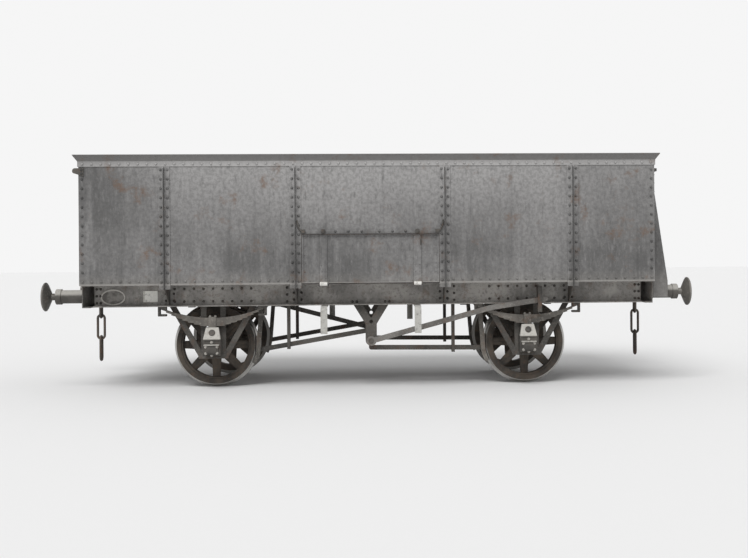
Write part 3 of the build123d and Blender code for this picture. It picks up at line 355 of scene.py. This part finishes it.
def axlebox_iron(name, shoulder_bottom=0.586, shoulder_top=0.732, shoulder_out=1.098):
    """Cast iron boxes under grime, pale on the sloping shoulder and on the ledge with dust and a
    painted highlight.
    """
    f = Finish(name)
    grain = f.noise(38.0, 6.0, 0.68)
    broad = f.noise(3.0, 4.0)
    dark, light = (0.055, 0.051, 0.046), (0.125, 0.115, 0.102)
    colour = f.blend(f.between(broad, 0.34, 0.66), dark, light)
    out = f.unsigned(f.y)
    # Pale on the sloping shoulder and the ledge: dust, and a painted highlight where light from
    # above falls on them
    shoulder = f.product(
        f.between(f.z, shoulder_bottom, shoulder_bottom + 0.006),
        f.between(f.z, shoulder_top, shoulder_top - 0.012),
        f.over(out, shoulder_out),
    )
    ledge = f.product(f.over(f.z, 0.515), f.under(f.z, 0.535), 0.7, f.over(out, box_front + 0.001))
    dust = f.product(f.reckon("MAXIMUM", shoulder, ledge), f.between(grain, 0.20, 0.55, 0.55, 1.0))
    colour = f.blend(dust, colour, (0.47, 0.455, 0.42))
    rust = f.between(f.noise(7.0, 6.0, 0.72), 0.54, 0.74, 0.0, 0.40)
    colour = f.blend(rust, colour, rust_brown)
    return f.done(colour, 0.74, normal=f.bump(f.noise(85.0, 5.0, 0.7), 0.0022, 0.6))


def buffer_housing(name):
    """Dark buffer guides with a painted highlight along their upper half."""
    f = Finish(name)
    broad = f.noise(4.0, 4.0)
    grain = f.noise(40.0, 6.0, 0.68)
    dark, light = (0.050, 0.047, 0.043), (0.100, 0.094, 0.086)
    colour = f.blend(f.between(broad, 0.34, 0.66), dark, light)
    # Painted highlight along the top of the guide, where light from above falls
    level = f.reckon("ADD", f.z, f.product(grain, 0.030))
    pale = f.between(level, buffer_z + 0.020, buffer_z + 0.055, 0.0, 0.85)
    colour = f.blend(pale, colour, (0.42, 0.405, 0.375))
    colour = f.blend(f.between(grain, 0.50, 0.72, 0.0, 0.35), colour, (0.110, 0.085, 0.065))
    return f.done(colour, 0.72, normal=f.bump(f.noise(80.0, 5.0, 0.7), 0.0020, 0.6))


def cast_plate(name):
    """A plate on the solebar: the sunk field dull and dirty, the raised rim rubbed pale."""
    f = Finish(name)
    broad = f.noise(18.0, 4.0)
    grain = f.noise(60.0, 5.0, 0.68)
    dark, light = (0.130, 0.124, 0.114), (0.270, 0.258, 0.240)
    field = f.blend(f.between(broad, 0.34, 0.66), dark, light)
    raised = f.over(f.unsigned(f.y), solebar_web + 0.0060)
    rubbed = f.product(raised, f.between(grain, 0.25, 0.55, 0.55, 1.0))
    colour = f.blend(rubbed, field, (0.56, 0.54, 0.50))
    colour = f.blend(f.between(grain, 0.52, 0.74, 0.0, 0.30), colour, (0.140, 0.100, 0.072))
    return f.done(colour, 0.75, normal=f.bump(grain, 0.0012, 0.5))


def floor_plates(name):
    """Bare floor, rusty and scoured, darker along the sides."""
    f = Finish(name)
    grain = f.noise(22.0, 6.0, 0.7)
    broad = f.noise(1.4, 4.0)
    dark, light = (0.070, 0.048, 0.036), (0.180, 0.135, 0.105)
    colour = f.blend(f.between(broad, 0.35, 0.65), dark, light)
    colour = f.blend(f.between(grain, 0.45, 0.70, 0.0, 0.8), colour, (0.030, 0.028, 0.027))
    # Darker towards the sides
    edge = f.between(f.unsigned(f.y), 0.95, 1.30, 0.0, 0.85)
    colour = f.blend(edge, colour, (0.022, 0.021, 0.020))
    rough = f.between(grain, 0.3, 0.7, 0.5, 0.85)
    return f.done(colour, rough, 0.25, f.bump(grain, 0.003, 0.6), 0.4)


def wheel_metal(name):
    """Grime on the wheels' faces and the axles, bright rolled metal on the tread and flange."""
    f = Finish(name)
    grain = f.noise(35.0, 6.0, 0.7)
    broad = f.noise(4.0, 4.0)
    dark, light = (0.035, 0.031, 0.027), (0.090, 0.075, 0.060)
    grime = f.blend(f.between(broad, 0.35, 0.65), dark, light)
    grime = f.blend(f.between(grain, 0.50, 0.72, 0.0, 0.5), grime, (0.150, 0.090, 0.055))
    along = f.reckon("SUBTRACT", f.unsigned(f.x), axle_x)
    out = f.distance(along, f.reckon("SUBTRACT", f.z, axle_z))
    rim_radius = tread_radius - 0.0115
    bright = f.between(out, rim_radius, rim_radius + 0.002)
    outside_flange_back = f.over(f.unsigned(f.y), 0.690)
    bright = f.product(bright, f.between(outside_flange_back, 0.0, 1.0, 0.55, 1.0))
    colour = f.blend(bright, grime, (0.46, 0.45, 0.43))
    rough = f.between(bright, 0.0, 1.0, 0.78, 0.30)
    metallic = f.between(bright, 0.0, 1.0, 0.10, 0.95)
    return f.done(colour, rough, metallic, f.bump(grain, 0.0015, 0.4), 0.4)


# One finish for each slot of the record, and a few for single nodes and pieces

finishes = {
    "body_paint": painted_plate("body_paint", body_grey),
    "frame_paint": grimy_steel(
        "frame_paint", (0.050, 0.047, 0.043), (0.105, 0.098, 0.088), 0.55,
    ),
    # The door stops' white is white paint and partly a painted highlight, for the light on them
    # outboard of the body's shade
    "white_paint": chalky_white("white_paint"),
    "worn_plate": floor_plates("worn_plate"),
    "draw_gear": grimy_steel(
        "draw_gear", (0.040, 0.036, 0.032), (0.095, 0.080, 0.066), 0.75, 0.62,
    ),
    "buffer_steel": grimy_steel(
        "buffer_steel", (0.080, 0.076, 0.070), (0.180, 0.170, 0.155), 0.35, 0.50, 0.35,
    ),
    "cast_running_gear": grimy_steel(
        "cast_running_gear", (0.075, 0.070, 0.063), (0.190, 0.176, 0.157), 0.45,
    ),
    "wheel_steel": wheel_metal("wheel_steel"),
}
# The eyes at the foot of the straps get a painted highlight below this level
strap_paint = painted_plate("strap_paint", body_grey, highlight_below=floor_bottom + 0.024)
ends_paint = grimy_steel("ends_paint", (0.100, 0.095, 0.088), (0.185, 0.175, 0.162), 0.50)
special = {
    "side_door_straps_near": strap_paint,
    "side_door_straps_far": strap_paint,
    "headstocks": ends_paint,
    "hand_levers": ends_paint,
    "solebars": solebar_with_painted_light("solebar_paint"),
    "axleboxes": axlebox_iron("axlebox_iron"),
    "buffer_guides": buffer_housing("buffer_housing"),
    "door_catches": finishes["frame_paint"],
    "end_door_bar": finishes["frame_paint"],
    "end_rail": finishes["frame_paint"],
}
# Painted shade: the body's rivets are painted darker than the plates, for the shade that marks
# them
rivet_painted_shade = painted_plate("rivet_painted_shade", shade(body_grey, 0.60))
pale_steel = grimy_steel("pale_steel", (0.22, 0.21, 0.19), (0.40, 0.38, 0.35), 0.20, 0.55)
# Painted light: the square plate's white is made lighter than the white paint, for the light lost
# in the solebar's shade
plate_white_painted_light = chalky_white("plate_white_painted_light", 1.25)
plate_grey = cast_plate("plate_grey")

record = frame["record"]
slot_of = {part["node"]: part["material_slot"] for part in record["subparts"]}
body_of = {
    node_name: body for body, names in record["behaviour"]["bodies"].items() for node_name in names
}
for node_name, node in frame["nodes"].items():
    finish = special.get(node_name, finishes[slot_of[node_name]])
    for slot in node.material_slots:
        slot.material = finish
    if not node.material_slots:
        node.data.materials.append(finish)


# Mesh steps shared by the pieces

def as_mesh(bm, name):
    """Turns the finished shape into a mesh."""
    mesh = bpy.data.meshes.new(name)
    bm.to_mesh(mesh)
    bm.free()
    return mesh


def add_object(name, data):
    made = bpy.data.objects.new(name, data)
    bpy.context.scene.collection.objects.link(made)
    return made


def keep(bm, name, body, slot, finish=None):
    """Turns the shape into a piece that rides on a body and takes the slot's finish."""
    mesh = as_mesh(bm, name)
    mesh.materials.append(finish or finishes[slot])
    mesh.shade_smooth()
    mesh.set_sharp_from_angle(angle=smooth_under)
    piece = add_object(name, mesh)
    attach(piece, body)
    return piece


def merge(bm):
    """Joins points that meet, then turns the faces outwards."""
    bmesh.ops.remove_doubles(bm, verts=bm.verts[:], dist=merge_gap)
    bmesh.ops.recalc_face_normals(bm, faces=bm.faces[:])


def facing(point, normal):
    """Moves a shape that stands on the XY plane onto a face at `point`."""
    turn = Vector(normal).to_track_quat("Z", "Y").to_matrix().to_4x4()
    return Matrix.Translation(point) @ turn


def stack(bm, rings, segments, matrix=Matrix.Identity(4)):
    """A closed turned shape from (radius, height) rings, standing on the XY plane."""
    for (low_radius, low), (high_radius, high) in zip(rings, rings[1:]):
        middle = Matrix.Translation((0, 0, (low + high) / 2))
        bmesh.ops.create_cone(
            bm, cap_ends=False, segments=segments, radius1=low_radius, radius2=high_radius,
            depth=high - low, matrix=matrix @ middle,
        )
    for radius, height in (rings[0], rings[-1]):
        level = Matrix.Translation((0, 0, height))
        bmesh.ops.create_circle(
            bm, cap_ends=True, radius=radius, segments=segments, matrix=matrix @ level,
        )
    merge(bm)


def block(bm, low, high, bevel, segments):
    """A box between two corners with softened edges."""
    size = [top - bottom for bottom, top in zip(low, high)]
    middle = [(bottom + top) / 2 for bottom, top in zip(low, high)]
    matrix = Matrix.Translation(middle) @ Matrix.Diagonal((*size, 1))
    made = bmesh.ops.create_cube(bm, size=1, matrix=matrix)["verts"]
    edges = list({edge for vert in made for edge in vert.link_edges})
    bmesh.ops.bevel(
        bm, geom=edges, offset=bevel, segments=segments, profile=0.5, affect="EDGES", material=-1,
    )


def rivet_head(radius, height):
    """A low dome."""
    rings = (
        (radius, 0.0), (0.93 * radius, 0.45 * height), (0.60 * radius, 0.85 * height),
        (0.20 * radius, height),
    )
    bm = bmesh.new()
    stack(bm, rings, 8)
    return as_mesh(bm, "rivet_head")


def bolt_head(radius, washer=0.003):
    """A hexagon nut on a washer with the bolt's end showing."""
    bm = bmesh.new()
    stack(bm, ((1.35 * radius, 0.0), (1.35 * radius, washer)), 12)
    nut_rings = (
        (radius, washer), (radius, washer + 0.75 * radius), (0.88 * radius, washer + 0.9 * radius),
    )
    stack(bm, nut_rings, 6)
    stack(bm, ((0.5 * radius, 0.8 * radius), (0.5 * radius, 1.25 * radius)), 8)
    return as_mesh(bm, "bolt_head")


def on_side(x, side, face, z):
    """A point on a face of a side, and the way that the face looks."""
    return (x, side * face, z), (0, side, 0)


def on_end(end, face, y, z):
    """A point on a face of an end, and the way that the face looks."""
    return (end * face, y, z), (end, 0, 0)


def studs(name, body, slot, shape, places, finish=None):
    """One piece from a head repeated at every (point, normal)."""
    bm = bmesh.new()
    for point, normal in places:
        head = shape.copy()
        head.transform(facing(point, normal))
        bm.from_mesh(head)
        bpy.data.meshes.remove(head)
    return keep(bm, name, body, slot, finish)


def row(start, stop, pitch=rivet_pitch):
    """Evenly spaced numbers from start to stop, about a pitch apart."""
    steps = max(1, round(abs(stop - start) / pitch))
    return [start + (stop - start) * i / steps for i in range(steps + 1)]


def clear_of(value, places, gap):
    return all(abs(value - place) > gap for place in places)


# Cast, forged and rolled nodes get softened edges and smooth round faces

def softened(node_name, width):
    """The node's own shape as a smooth-shaded piece with small rounds along its edges."""
    bm = bmesh.new()
    bm.from_mesh(frame["nodes"][node_name].data)
    bmesh.ops.remove_doubles(bm, verts=bm.verts[:], dist=merge_gap)
    bmesh.ops.dissolve_limit(bm, angle_limit=radians(0.5), verts=bm.verts[:], edges=bm.edges[:])
    slot = slot_of[node_name]
    piece = keep(bm, f"{node_name}_finished", body_of[node_name], slot, special.get(node_name))
    rounds = piece.modifiers.new("rounds", "BEVEL")
    rounds.width = width
    rounds.segments = 2
    rounds.limit_method = "ANGLE"
    rounds.angle_limit = radians(40)
    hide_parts(node_name)


# node, width of its rounds
softened_nodes = (
    ("couplings", 0.002), ("drawhooks", 0.004), ("buffer_heads", 0.004),
    ("buffer_guides", 0.004), ("brake_shaft", 0.003), ("brake_rods", 0.002),
    ("brake_blocks", 0.003), ("brake_v_hangers", 0.002), ("rod_hangers", 0.002),
    ("hand_levers", 0.003), ("lever_guards", 0.002), ("door_stops", 0.002),
    ("door_catches", 0.004), ("spring_shoes", 0.004), ("axleguards", 0.003),
    ("axleboxes", 0.007), ("side_hinge_brackets", 0.002), ("side_door_straps_near", 0.002),
    ("side_door_straps_far", 0.002), ("end_door_straps", 0.003), ("end_door_bar", 0.002),
    ("end_pillars", 0.002), ("side_stanchions", 0.002), ("end_rail", 0.003),
    ("side_copings", 0.003), ("end_copings", 0.003), ("solebars", 0.003),
    ("headstocks", 0.003),
)
for node_name, width in softened_nodes:
    softened(node_name, width)


# Rivets of the body

plate_rivet = rivet_head(0.016, 0.013)
door_rivet = rivet_head(0.010, 0.006)
nut = bolt_head(0.019)
small_nut = bolt_head(0.013)

stanchion_x = [end * place for place in stanchion_places for end in both]
pillar_y = [side * place for place in pillar_places for side in both]

body_places = []
edge_places = []
for side in both:
    # Two rows up each stanchion, and the same rivets' inner heads where there is a panel
    for place in stanchion_x:
        at_door = abs(place) == stanchion_places[0]
        for x in (place - stanchion_gauge, place + stanchion_gauge):
            for z in row(floor_bottom + 0.035, panel_top - 0.095):
                body_places.append(on_side(x, side, stanchion_face, z))
                if not at_door or z > opening_top + 0.05:
                    body_places.append(((x, side * panel_inside, z), (0, -side, 0)))
    for x in row(-half_length + coping_margin, half_length - coping_margin):
        edge_places.append(on_side(x, side, stanchion_face, coping_row))
    for end in both:
        corner_top = panel_top - (0.20 if end < 0 else 0.11)
        for z in row(corner_foot, corner_top):
            body_places.append(on_side(end * side_corner, side, half_width, z))
        for x in row(opening_half + 0.16, side_corner):
            if clear_of(x, stanchion_places, stanchion_clear):
                edge_places.append(on_side(end * x, side, half_width, bottom_row))
        for x in (0.10, 0.25, 0.40):
            body_places.append(on_side(end * x, side, lintel_face, lintel_row))
    for z in (end_bar_z - 0.03, end_bar_z + 0.012):
        body_places.append(on_side(-half_length + 0.035, side, strap_face, z))
for end in both:
    for y in row(-half_width + coping_margin, half_width - coping_margin):
        body_places.append(on_end(end, end_flange_face, y, coping_row))
for place in pillar_y:
    for y in (place - pillar_gauge, place + pillar_gauge):
        for z in row(pillar_bottom + 0.035, pillar_top - 0.035):
            body_places.append(on_end(1, end_flange_face, y, z))
for side in both:
    for z in row(corner_foot, panel_top - 0.17):
        body_places.append(on_end(1, half_length, side * end_corner, z))
for y in row(-end_corner, end_corner):
    if clear_of(y, pillar_y, pillar_clear):
        body_places.append(on_end(1, half_length, y, bottom_row))
studs("body_rivets", "wagon", "body_paint", plate_rivet, body_places, rivet_painted_shade)
studs("edge_rivets", "wagon", "body_paint", plate_rivet, edge_places)


# Rivets of the doors, which ride with them

for side_name, side in sides.items():
    places = []
    for end in both:
        for across in (-strap_gauge, strap_gauge):
            for z in row(door_bottom + 0.055, stop_top_shut - 0.035):
                places.append(on_side(end * strap_place + across, side, strap_face, z))
        for z in row(door_bottom + 0.030, door_top - 0.030):
            places.append(on_side(end * (opening_half - 0.040), side, half_width, z))
    for x in row(-opening_half + 0.10, opening_half - 0.10):
        if clear_of(abs(x), (strap_place,), strap_clear):
            for z in (door_bottom + 0.030, door_top - 0.030):
                places.append(on_side(x, side, half_width, z))
    studs(f"door_rivets_{side_name}", f"door_{side_name}", "body_paint", door_rivet, places)

places = []
for place in end_strap_places:
    for side in both:
        for across in (-end_strap_gauge, end_strap_gauge):
            for z in row(end_door_bottom + 0.130, end_bar_z - 0.100):
                places.append(on_end(-1, half_length, side * place + across, z))
for y in row(-half_width + 0.060, half_width - 0.060):
    places.append(on_end(-1, half_length, y, end_door_bottom + 0.040))
studs("end_door_rivets", "door_end", "body_paint", plate_rivet, places)


# Rivets and bolts of the underframe

angle_rows = (1.010, 1.090, 1.170)
guard_rows = (1.020, 1.165)
guard_half = 0.44
knee_rows = (1.030, 1.110)
hanger_row = 1.001
hanger_columns = (0.165, 0.215)
solebar_columns = (0.975, 3.115, 3.160)
headstock_columns = (0.19, 0.27, 0.60, 0.66, 1.07, 1.12, 1.17)

frame_places = []
for end, side in corners:
    for z in guard_rows:
        for offset in row(-guard_half, guard_half, 0.11):
            frame_places.append(on_side(end * axle_x + offset, side, solebar_web, z))
    for x in hanger_columns:
        frame_places.append(on_side(end * x, side, solebar_web, hanger_row))
    for x in solebar_columns:
        for z in angle_rows:
            frame_places.append(on_side(end * x, side, solebar_web, z))
    for place in stanchion_places:
        for z in knee_rows:
            for across in (-knee_gauge, knee_gauge):
                frame_places.append(on_side(end * place + across, side, solebar_web, z))
    for y in headstock_columns:
        for z in angle_rows:
            if end < 0 or clear_of(y, pillar_places, 0.055) or z < pillar_bottom:
                frame_places.append(on_end(end, half_length, side * y, z))
studs("frame_rivets", "wagon", "frame_paint", plate_rivet, frame_places)

buffer_flange_face = half_length + 0.022
buffer_bolt_radius = 0.108
hook_plate_face = half_length + 0.016
hook_bolt_reach = 0.074
bolt_places = []
for end, side in corners:
    for turn in (45, 135, 225, 315):
        y = side * buffer_y + buffer_bolt_radius * cos(radians(turn))
        z = buffer_z + buffer_bolt_radius * sin(radians(turn))
        bolt_places.append(on_end(end, buffer_flange_face, y, z))
    for up in both:
        z = buffer_z + up * hook_bolt_reach
        bolt_places.append(on_end(end, hook_plate_face, side * hook_bolt_reach, z))
studs("frame_bolts", "wagon", "frame_paint", nut, bolt_places)


# Blank cast plates on the near solebar

plate_thickness = 0.008
field_depth = 0.003


def rimmed_plate(name, place, size, segments, rim, slot, finish):
    """A plate with a raised rim, flat on the web of the near solebar, with nothing on it."""
    square = segments == 4
    turn = Matrix.Rotation(pi / 4 if square else 0.0, 4, "Z")
    radius = 0.5 / cos(pi / 4) if square else 0.5
    stretch = Matrix.Diagonal((*size, 1, 1))
    matrix = facing((place[0], -solebar_web, place[1]), (0, -1, 0)) @ stretch @ turn
    bm = bmesh.new()
    bmesh.ops.create_circle(bm, cap_ends=True, radius=radius, segments=segments, matrix=matrix)
    made = bmesh.ops.extrude_face_region(bm, geom=bm.faces[:])["geom"]
    raised = [part for part in made if isinstance(part, bmesh.types.BMVert)]
    bmesh.ops.translate(bm, vec=(0, -plate_thickness, 0), verts=raised)
    lid = [part for part in made if isinstance(part, bmesh.types.BMFace)]
    bmesh.ops.inset_region(bm, faces=lid, thickness=rim)
    bmesh.ops.inset_region(bm, faces=lid, thickness=0.002, depth=-field_depth)
    bmesh.ops.recalc_face_normals(bm, faces=bm.faces[:])
    keep(bm, name, "wagon", slot, finish)


rimmed_plate(
    "oval_plate", (-2.973, 1.0755), (0.280, 0.185), 48, 0.014, "frame_paint", plate_grey,
)
rimmed_plate(
    "square_plate", (-2.547, 1.0815), (0.165, 0.130), 4, 0.007, "white_paint", plate_white_painted_light,
)


# Leaf springs: separate leaves in their buckles

spring_radius = (spring_half_span ** 2 + spring_camber ** 2) / (2 * spring_camber)
spring_half_angle = asin(spring_half_span / spring_radius)
leaf_half = (leaf_width / 2, 0.47 * leaf_thickness)  # a thin gap is left between the leaves
leaf_cuts = 23
buckle_half = (0.045, 0.050)
buckle_top = pack_top + 0.012


def leaf(place, side, index):
    """A flat bar with softened edges, bent to the spring's curve."""
    half_angle = spring_half_angle * (1 - index / (leaf_count + 1))
    middle_radius = spring_radius + (index + 0.5) * leaf_thickness
    reach = half_angle * middle_radius
    high = Vector((reach, *leaf_half))
    bar = bmesh.new()
    block(bar, -high, high, 0.0015, 1)
    long_edges = [edge for edge in bar.edges if edge.calc_length() > reach]
    bmesh.ops.subdivide_edges(bar, edges=long_edges, cuts=leaf_cuts, use_grid_fill=True)
    for vert in bar.verts:
        turn = vert.co.x / middle_radius
        out = middle_radius - vert.co.z
        vert.co = (
            place + out * sin(turn), side * spring_y + vert.co.y,
            pack_top + spring_radius - out * cos(turn),
        )
    return as_mesh(bar, "leaf")


bm = bmesh.new()
for end, side in corners:
    x, y = end * axle_x, side * spring_y
    for index in range(leaf_count):
        mesh = leaf(x, side, index)
        bm.from_mesh(mesh)
        bpy.data.meshes.remove(mesh)
    low = (x - buckle_half[0], y - buckle_half[1], spring_base)
    block(bm, low, (x + buckle_half[0], y + buckle_half[1], buckle_top), 0.007, 3)
springs = keep(bm, "spring_leaves", "wagon", "cast_running_gear")
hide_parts("leaf_springs")


# Axlebox fronts: the lid's raised middle, the ledge over it, the brow, bolts and oil caps

# half length, the two depths that it reaches between, bottom, top, width of its rounds
front_ribs = (
    (0.058, lid_face - 0.004, lid_face + 0.010, 0.427, 0.504, 0.006),
    (0.088, box_front - 0.010, lid_face + 0.014, 0.517, 0.533, 0.004),
    (0.094, box_front - 0.010, box_front + 0.012, 0.574, 0.590, 0.005),
)
# along, face, level
front_bolts = (
    (-0.064, lid_face, 0.430), (-0.064, lid_face, 0.502),
    (0.064, lid_face, 0.430), (0.064, lid_face, 0.502),
    (0.0, box_front, 0.554), (0.0, box_front, 0.406),
)
cap_rings = ((0.037, -0.004), (0.037, 0.008), (0.030, 0.013), (0.030, 0.010), (0.010, 0.009))
cap_out, cap_z = 1.131, 0.661
shoulder_slope = (0.9157, 0.4018)

bm = bmesh.new()
bolt_places = []
cap_places = []
for end, side in corners:
    x = end * axle_x
    for half, inner, outer, bottom, top, bevel in front_ribs:
        depths = sorted((side * inner, side * outer))
        block(bm, (x - half, depths[0], bottom), (x + half, depths[1], top), bevel, 2)
    for along, face, level in front_bolts:
        bolt_places.append(on_side(x + along, side, face, level))
    for across in (-0.030, 0.030):
        bolt_places.append(((x + across, side * spring_y, buckle_top), (0, 0, 1)))
    cap_facing = (0, side * shoulder_slope[0], shoulder_slope[1])
    cap_places.append(((x, side * cap_out, cap_z), cap_facing))
keep(bm, "axlebox_fronts", "wagon", "cast_running_gear", special["axleboxes"])
studs("axlebox_bolts", "wagon", "cast_running_gear", small_nut, bolt_places, pale_steel)

cap = bmesh.new()
stack(cap, cap_rings, 20)
studs("oil_caps", "wagon", "frame_paint", as_mesh(cap, "oil_cap"), cap_places)


# Door fastenings: hooks beside the stanchions, staples, knobs, and a cotter on its chain

def rod(bm, points, radius):
    """A round bar along a smooth line through the points."""
    line = bpy.data.curves.new("rod", "CURVE")
    line.dimensions = "3D"
    line.bevel_depth = radius
    line.bevel_resolution = 3
    line.resolution_u = 6
    line.use_fill_caps = True
    spline = line.splines.new("BEZIER")
    spline.bezier_points.add(len(points) - 1)
    for knot, point in zip(spline.bezier_points, points):
        knot.co = point
        knot.handle_left_type = "AUTO"
        knot.handle_right_type = "AUTO"
    holder = bpy.data.objects.new("rod", line)
    mesh = bpy.data.meshes.new_from_object(holder)
    bm.from_mesh(mesh)
    bpy.data.objects.remove(holder)
    bpy.data.curves.remove(line)
    bpy.data.meshes.remove(mesh)


# along, level
hook_points = ((0.760, 1.812), (0.786, 1.822), (0.812, 1.855), (0.826, 1.900), (0.829, 1.942))
hook_radius = 0.009
chain_radius = 0.004
staple_places = (strap_place, 0.7635)
staple_half = 0.014
staple_levels = (1.792, 1.806)
staple_depth = 0.018
knob_rings = ((0.015, 0.0), (0.017, 0.004), (0.012, 0.011), (0.004, 0.013))
knob_z = 1.803
cotter_x = 0.569
bm = bmesh.new()
for side in both:
    y = side * (half_width + 0.030)
    depths = sorted((y, y + side * staple_depth))
    for end in both:
        rod(bm, [(end * x, y, z) for x, z in hook_points], hook_radius)
        for place in staple_places:
            low = (end * place - staple_half, depths[0], staple_levels[0])
            high = (end * place + staple_half, depths[1], staple_levels[1])
            block(bm, low, high, 0.003, 1)
        knob = (end * strap_place, side * (half_width + 0.046), knob_z)
        stack(bm, knob_rings, 14, facing(knob, (0, side, 0)))
    x = -side * cotter_x
    hang_x, hang_y = x + 0.002, y + side * 0.014
    chain = [(x - 0.012, y, 1.790), (x, y + side * 0.012, 1.750), (hang_x, hang_y, 1.705)]
    rod(bm, chain, chain_radius)
    rod(bm, [(hang_x, hang_y, 1.710), (hang_x, hang_y, 1.650)], hook_radius)
merge(bm)
keep(bm, "door_fastenings", "wagon", "frame_paint")


# Wheels and axles: turned tyres, hubs and journals, with split spokes

def turned(bm, outline, centre, steps, closed=True):
    """Spins (across, radius) points about the Y axis through `centre`."""
    ring = [bm.verts.new((centre[0], y, centre[1] + radius)) for y, radius in outline]
    following = ring[1:] + (ring[:1] if closed else [])
    edges = [bm.edges.new(pair) for pair in zip(ring, following)]
    bmesh.ops.spin(
        bm, geom=ring + edges, cent=(centre[0], 0, centre[1]), axis=(0, 1, 0), angle=2 * pi,
        steps=steps, use_merge=True,
    )


# across, radius
tyre_outline = (
    (0.681, 0.384), (0.681, 0.4885), (0.684, 0.4955), (0.690, 0.4982), (0.698, 0.4975),
    (0.707, 0.489), (0.712, 0.478), (0.720, 0.4705), (0.802, 0.4660), (0.808, 0.460),
    (0.808, 0.408), (0.796, 0.408), (0.796, 0.384),
)
hub_outline = (
    (0.6555, 0.076), (0.6555, 0.118), (0.660, 0.124), (0.690, 0.138), (0.700, 0.140),
    (0.789, 0.140), (0.799, 0.138), (0.829, 0.124), (0.8335, 0.118), (0.8335, 0.076),
)
axle_half = (
    (0.6555, 0.070), (0.6575, 0.076), (0.8315, 0.076), (0.8335, 0.066), (0.8735, 0.066),
    (0.8760, 0.0635), (0.8760, 0.0548), (1.1025, 0.0548), (1.1050, 0.0520), (1.1050, 0.0),
)
axle_outline = tuple((-across, radius) for across, radius in reversed(axle_half)) + axle_half
spoke_pairs = 8
spoke_foot = (0.027, 0.132)
spoke_head = (0.012, 0.392)
spoke_section = (0.025, 0.064)


def spoke(bm, centre, side, turn, lean):
    """One leg of a split spoke, an oval bar from the hub out to the tyre."""
    foot = Vector((lean * spoke_foot[0], side * wheel_plane, spoke_foot[1]))
    head = Vector((lean * spoke_head[0], side * wheel_plane, spoke_head[1]))
    slope = (head - foot).to_track_quat("Z", "Y").to_matrix().to_4x4()
    place = Matrix.Translation((centre[0], 0, centre[1])) @ Matrix.Rotation(turn, 4, "Y")
    place = place @ Matrix.Translation((foot + head) / 2) @ slope
    bmesh.ops.create_cone(
        bm, cap_ends=True, segments=12, radius1=0.5, radius2=0.5, depth=(head - foot).length,
        matrix=place @ Matrix.Diagonal((*spoke_section, 1, 1)),
    )


for end_name, end in ends.items():
    body = f"wheelset_{end_name}"
    centre = (end * axle_x, axle_z)
    bm = bmesh.new()
    turned(bm, axle_outline, centre, 64, closed=False)
    merge(bm)
    axle = keep(bm, f"turned_axle_{end_name}", body, "wheel_steel")
    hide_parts(f"axle_{end_name}")
    bm = bmesh.new()
    for side in both:
        turned(bm, [(side * y, radius) for y, radius in tyre_outline], centre, 96)
        turned(bm, [(side * y, radius) for y, radius in hub_outline], centre, 64)
        for pair in range(spoke_pairs):
            for lean in both:
                spoke(bm, centre, side, 2 * pi * pair / spoke_pairs, lean)
    merge(bm)
    wheels = keep(bm, f"wheel_pair_{end_name}", body, "wheel_steel")
    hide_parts(f"wheels_{end_name}")


# Stage: pale floor, soft light, white behind

bm = bmesh.new()
bmesh.ops.create_grid(bm, x_segments=1, y_segments=1, size=90)
floor_mesh = as_mesh(bm, "studio_floor")
floor_mesh.materials.append(Finish("studio_floor").done((0.80, 0.80, 0.80), 0.9, specular=0.2))
add_object("studio_floor", floor_mesh)

world = bpy.data.worlds.new("studio")
bpy.context.scene.world = world
world.use_nodes = True
tree = world.node_tree
tree.nodes.clear()


def background(grey, strength):
    node = tree.nodes.new("ShaderNodeBackground")
    node.inputs["Color"].default_value = (grey, grey, grey, 1.0)
    node.inputs["Strength"].default_value = strength
    return node.outputs[0]


rays = tree.nodes.new("ShaderNodeLightPath").outputs
shown = rays["Is Camera Ray"]
for kind in ("Is Glossy Ray", "Is Transmission Ray"):
    either = tree.nodes.new("ShaderNodeMath")
    either.operation = "MAXIMUM"
    tree.links.new(shown, either.inputs[0])
    tree.links.new(rays[kind], either.inputs[1])
    shown = either.outputs[0]
choice = tree.nodes.new("ShaderNodeMixShader")
sky = tree.nodes.new("ShaderNodeOutputWorld")
tree.links.new(shown, choice.inputs[0])
tree.links.new(background(1.0, 0.62), choice.inputs[1])
tree.links.new(background(0.92, 1.0), choice.inputs[2])
tree.links.new(choice.outputs[0], sky.inputs["Surface"])

key_light = bpy.data.lights.new("key_light", "SUN")
key_light.energy = 1.9
key_light.angle = radians(35)
key = add_object("key_light", key_light)
key.rotation_euler = (radians(38), radians(-14), 0)


# Camera, level, in front of the near side and turned a little to the right

camera_place = (0.0062, -13.972, 1.5676)
camera_turn = radians(2.880)
camera_roll = radians(0.438)
camera_data = bpy.data.cameras.new("camera")
camera_data.sensor_width = 36.0
camera_data.lens = 53.31
camera_data.shift_x = -0.0707
camera_data.shift_y = -0.0355
camera_data.clip_end = 500
camera = add_object("camera", camera_data)
turn = Matrix.Rotation(-camera_turn, 4, "Z")
upright = Matrix.Rotation(pi / 2, 4, "X")
roll = Matrix.Rotation(-camera_roll, 4, "Z")
camera.matrix_world = Matrix.Translation(camera_place) @ turn @ upright @ roll
bpy.context.scene.camera = camera
bpy.context.scene.view_settings.view_transform = "Standard"
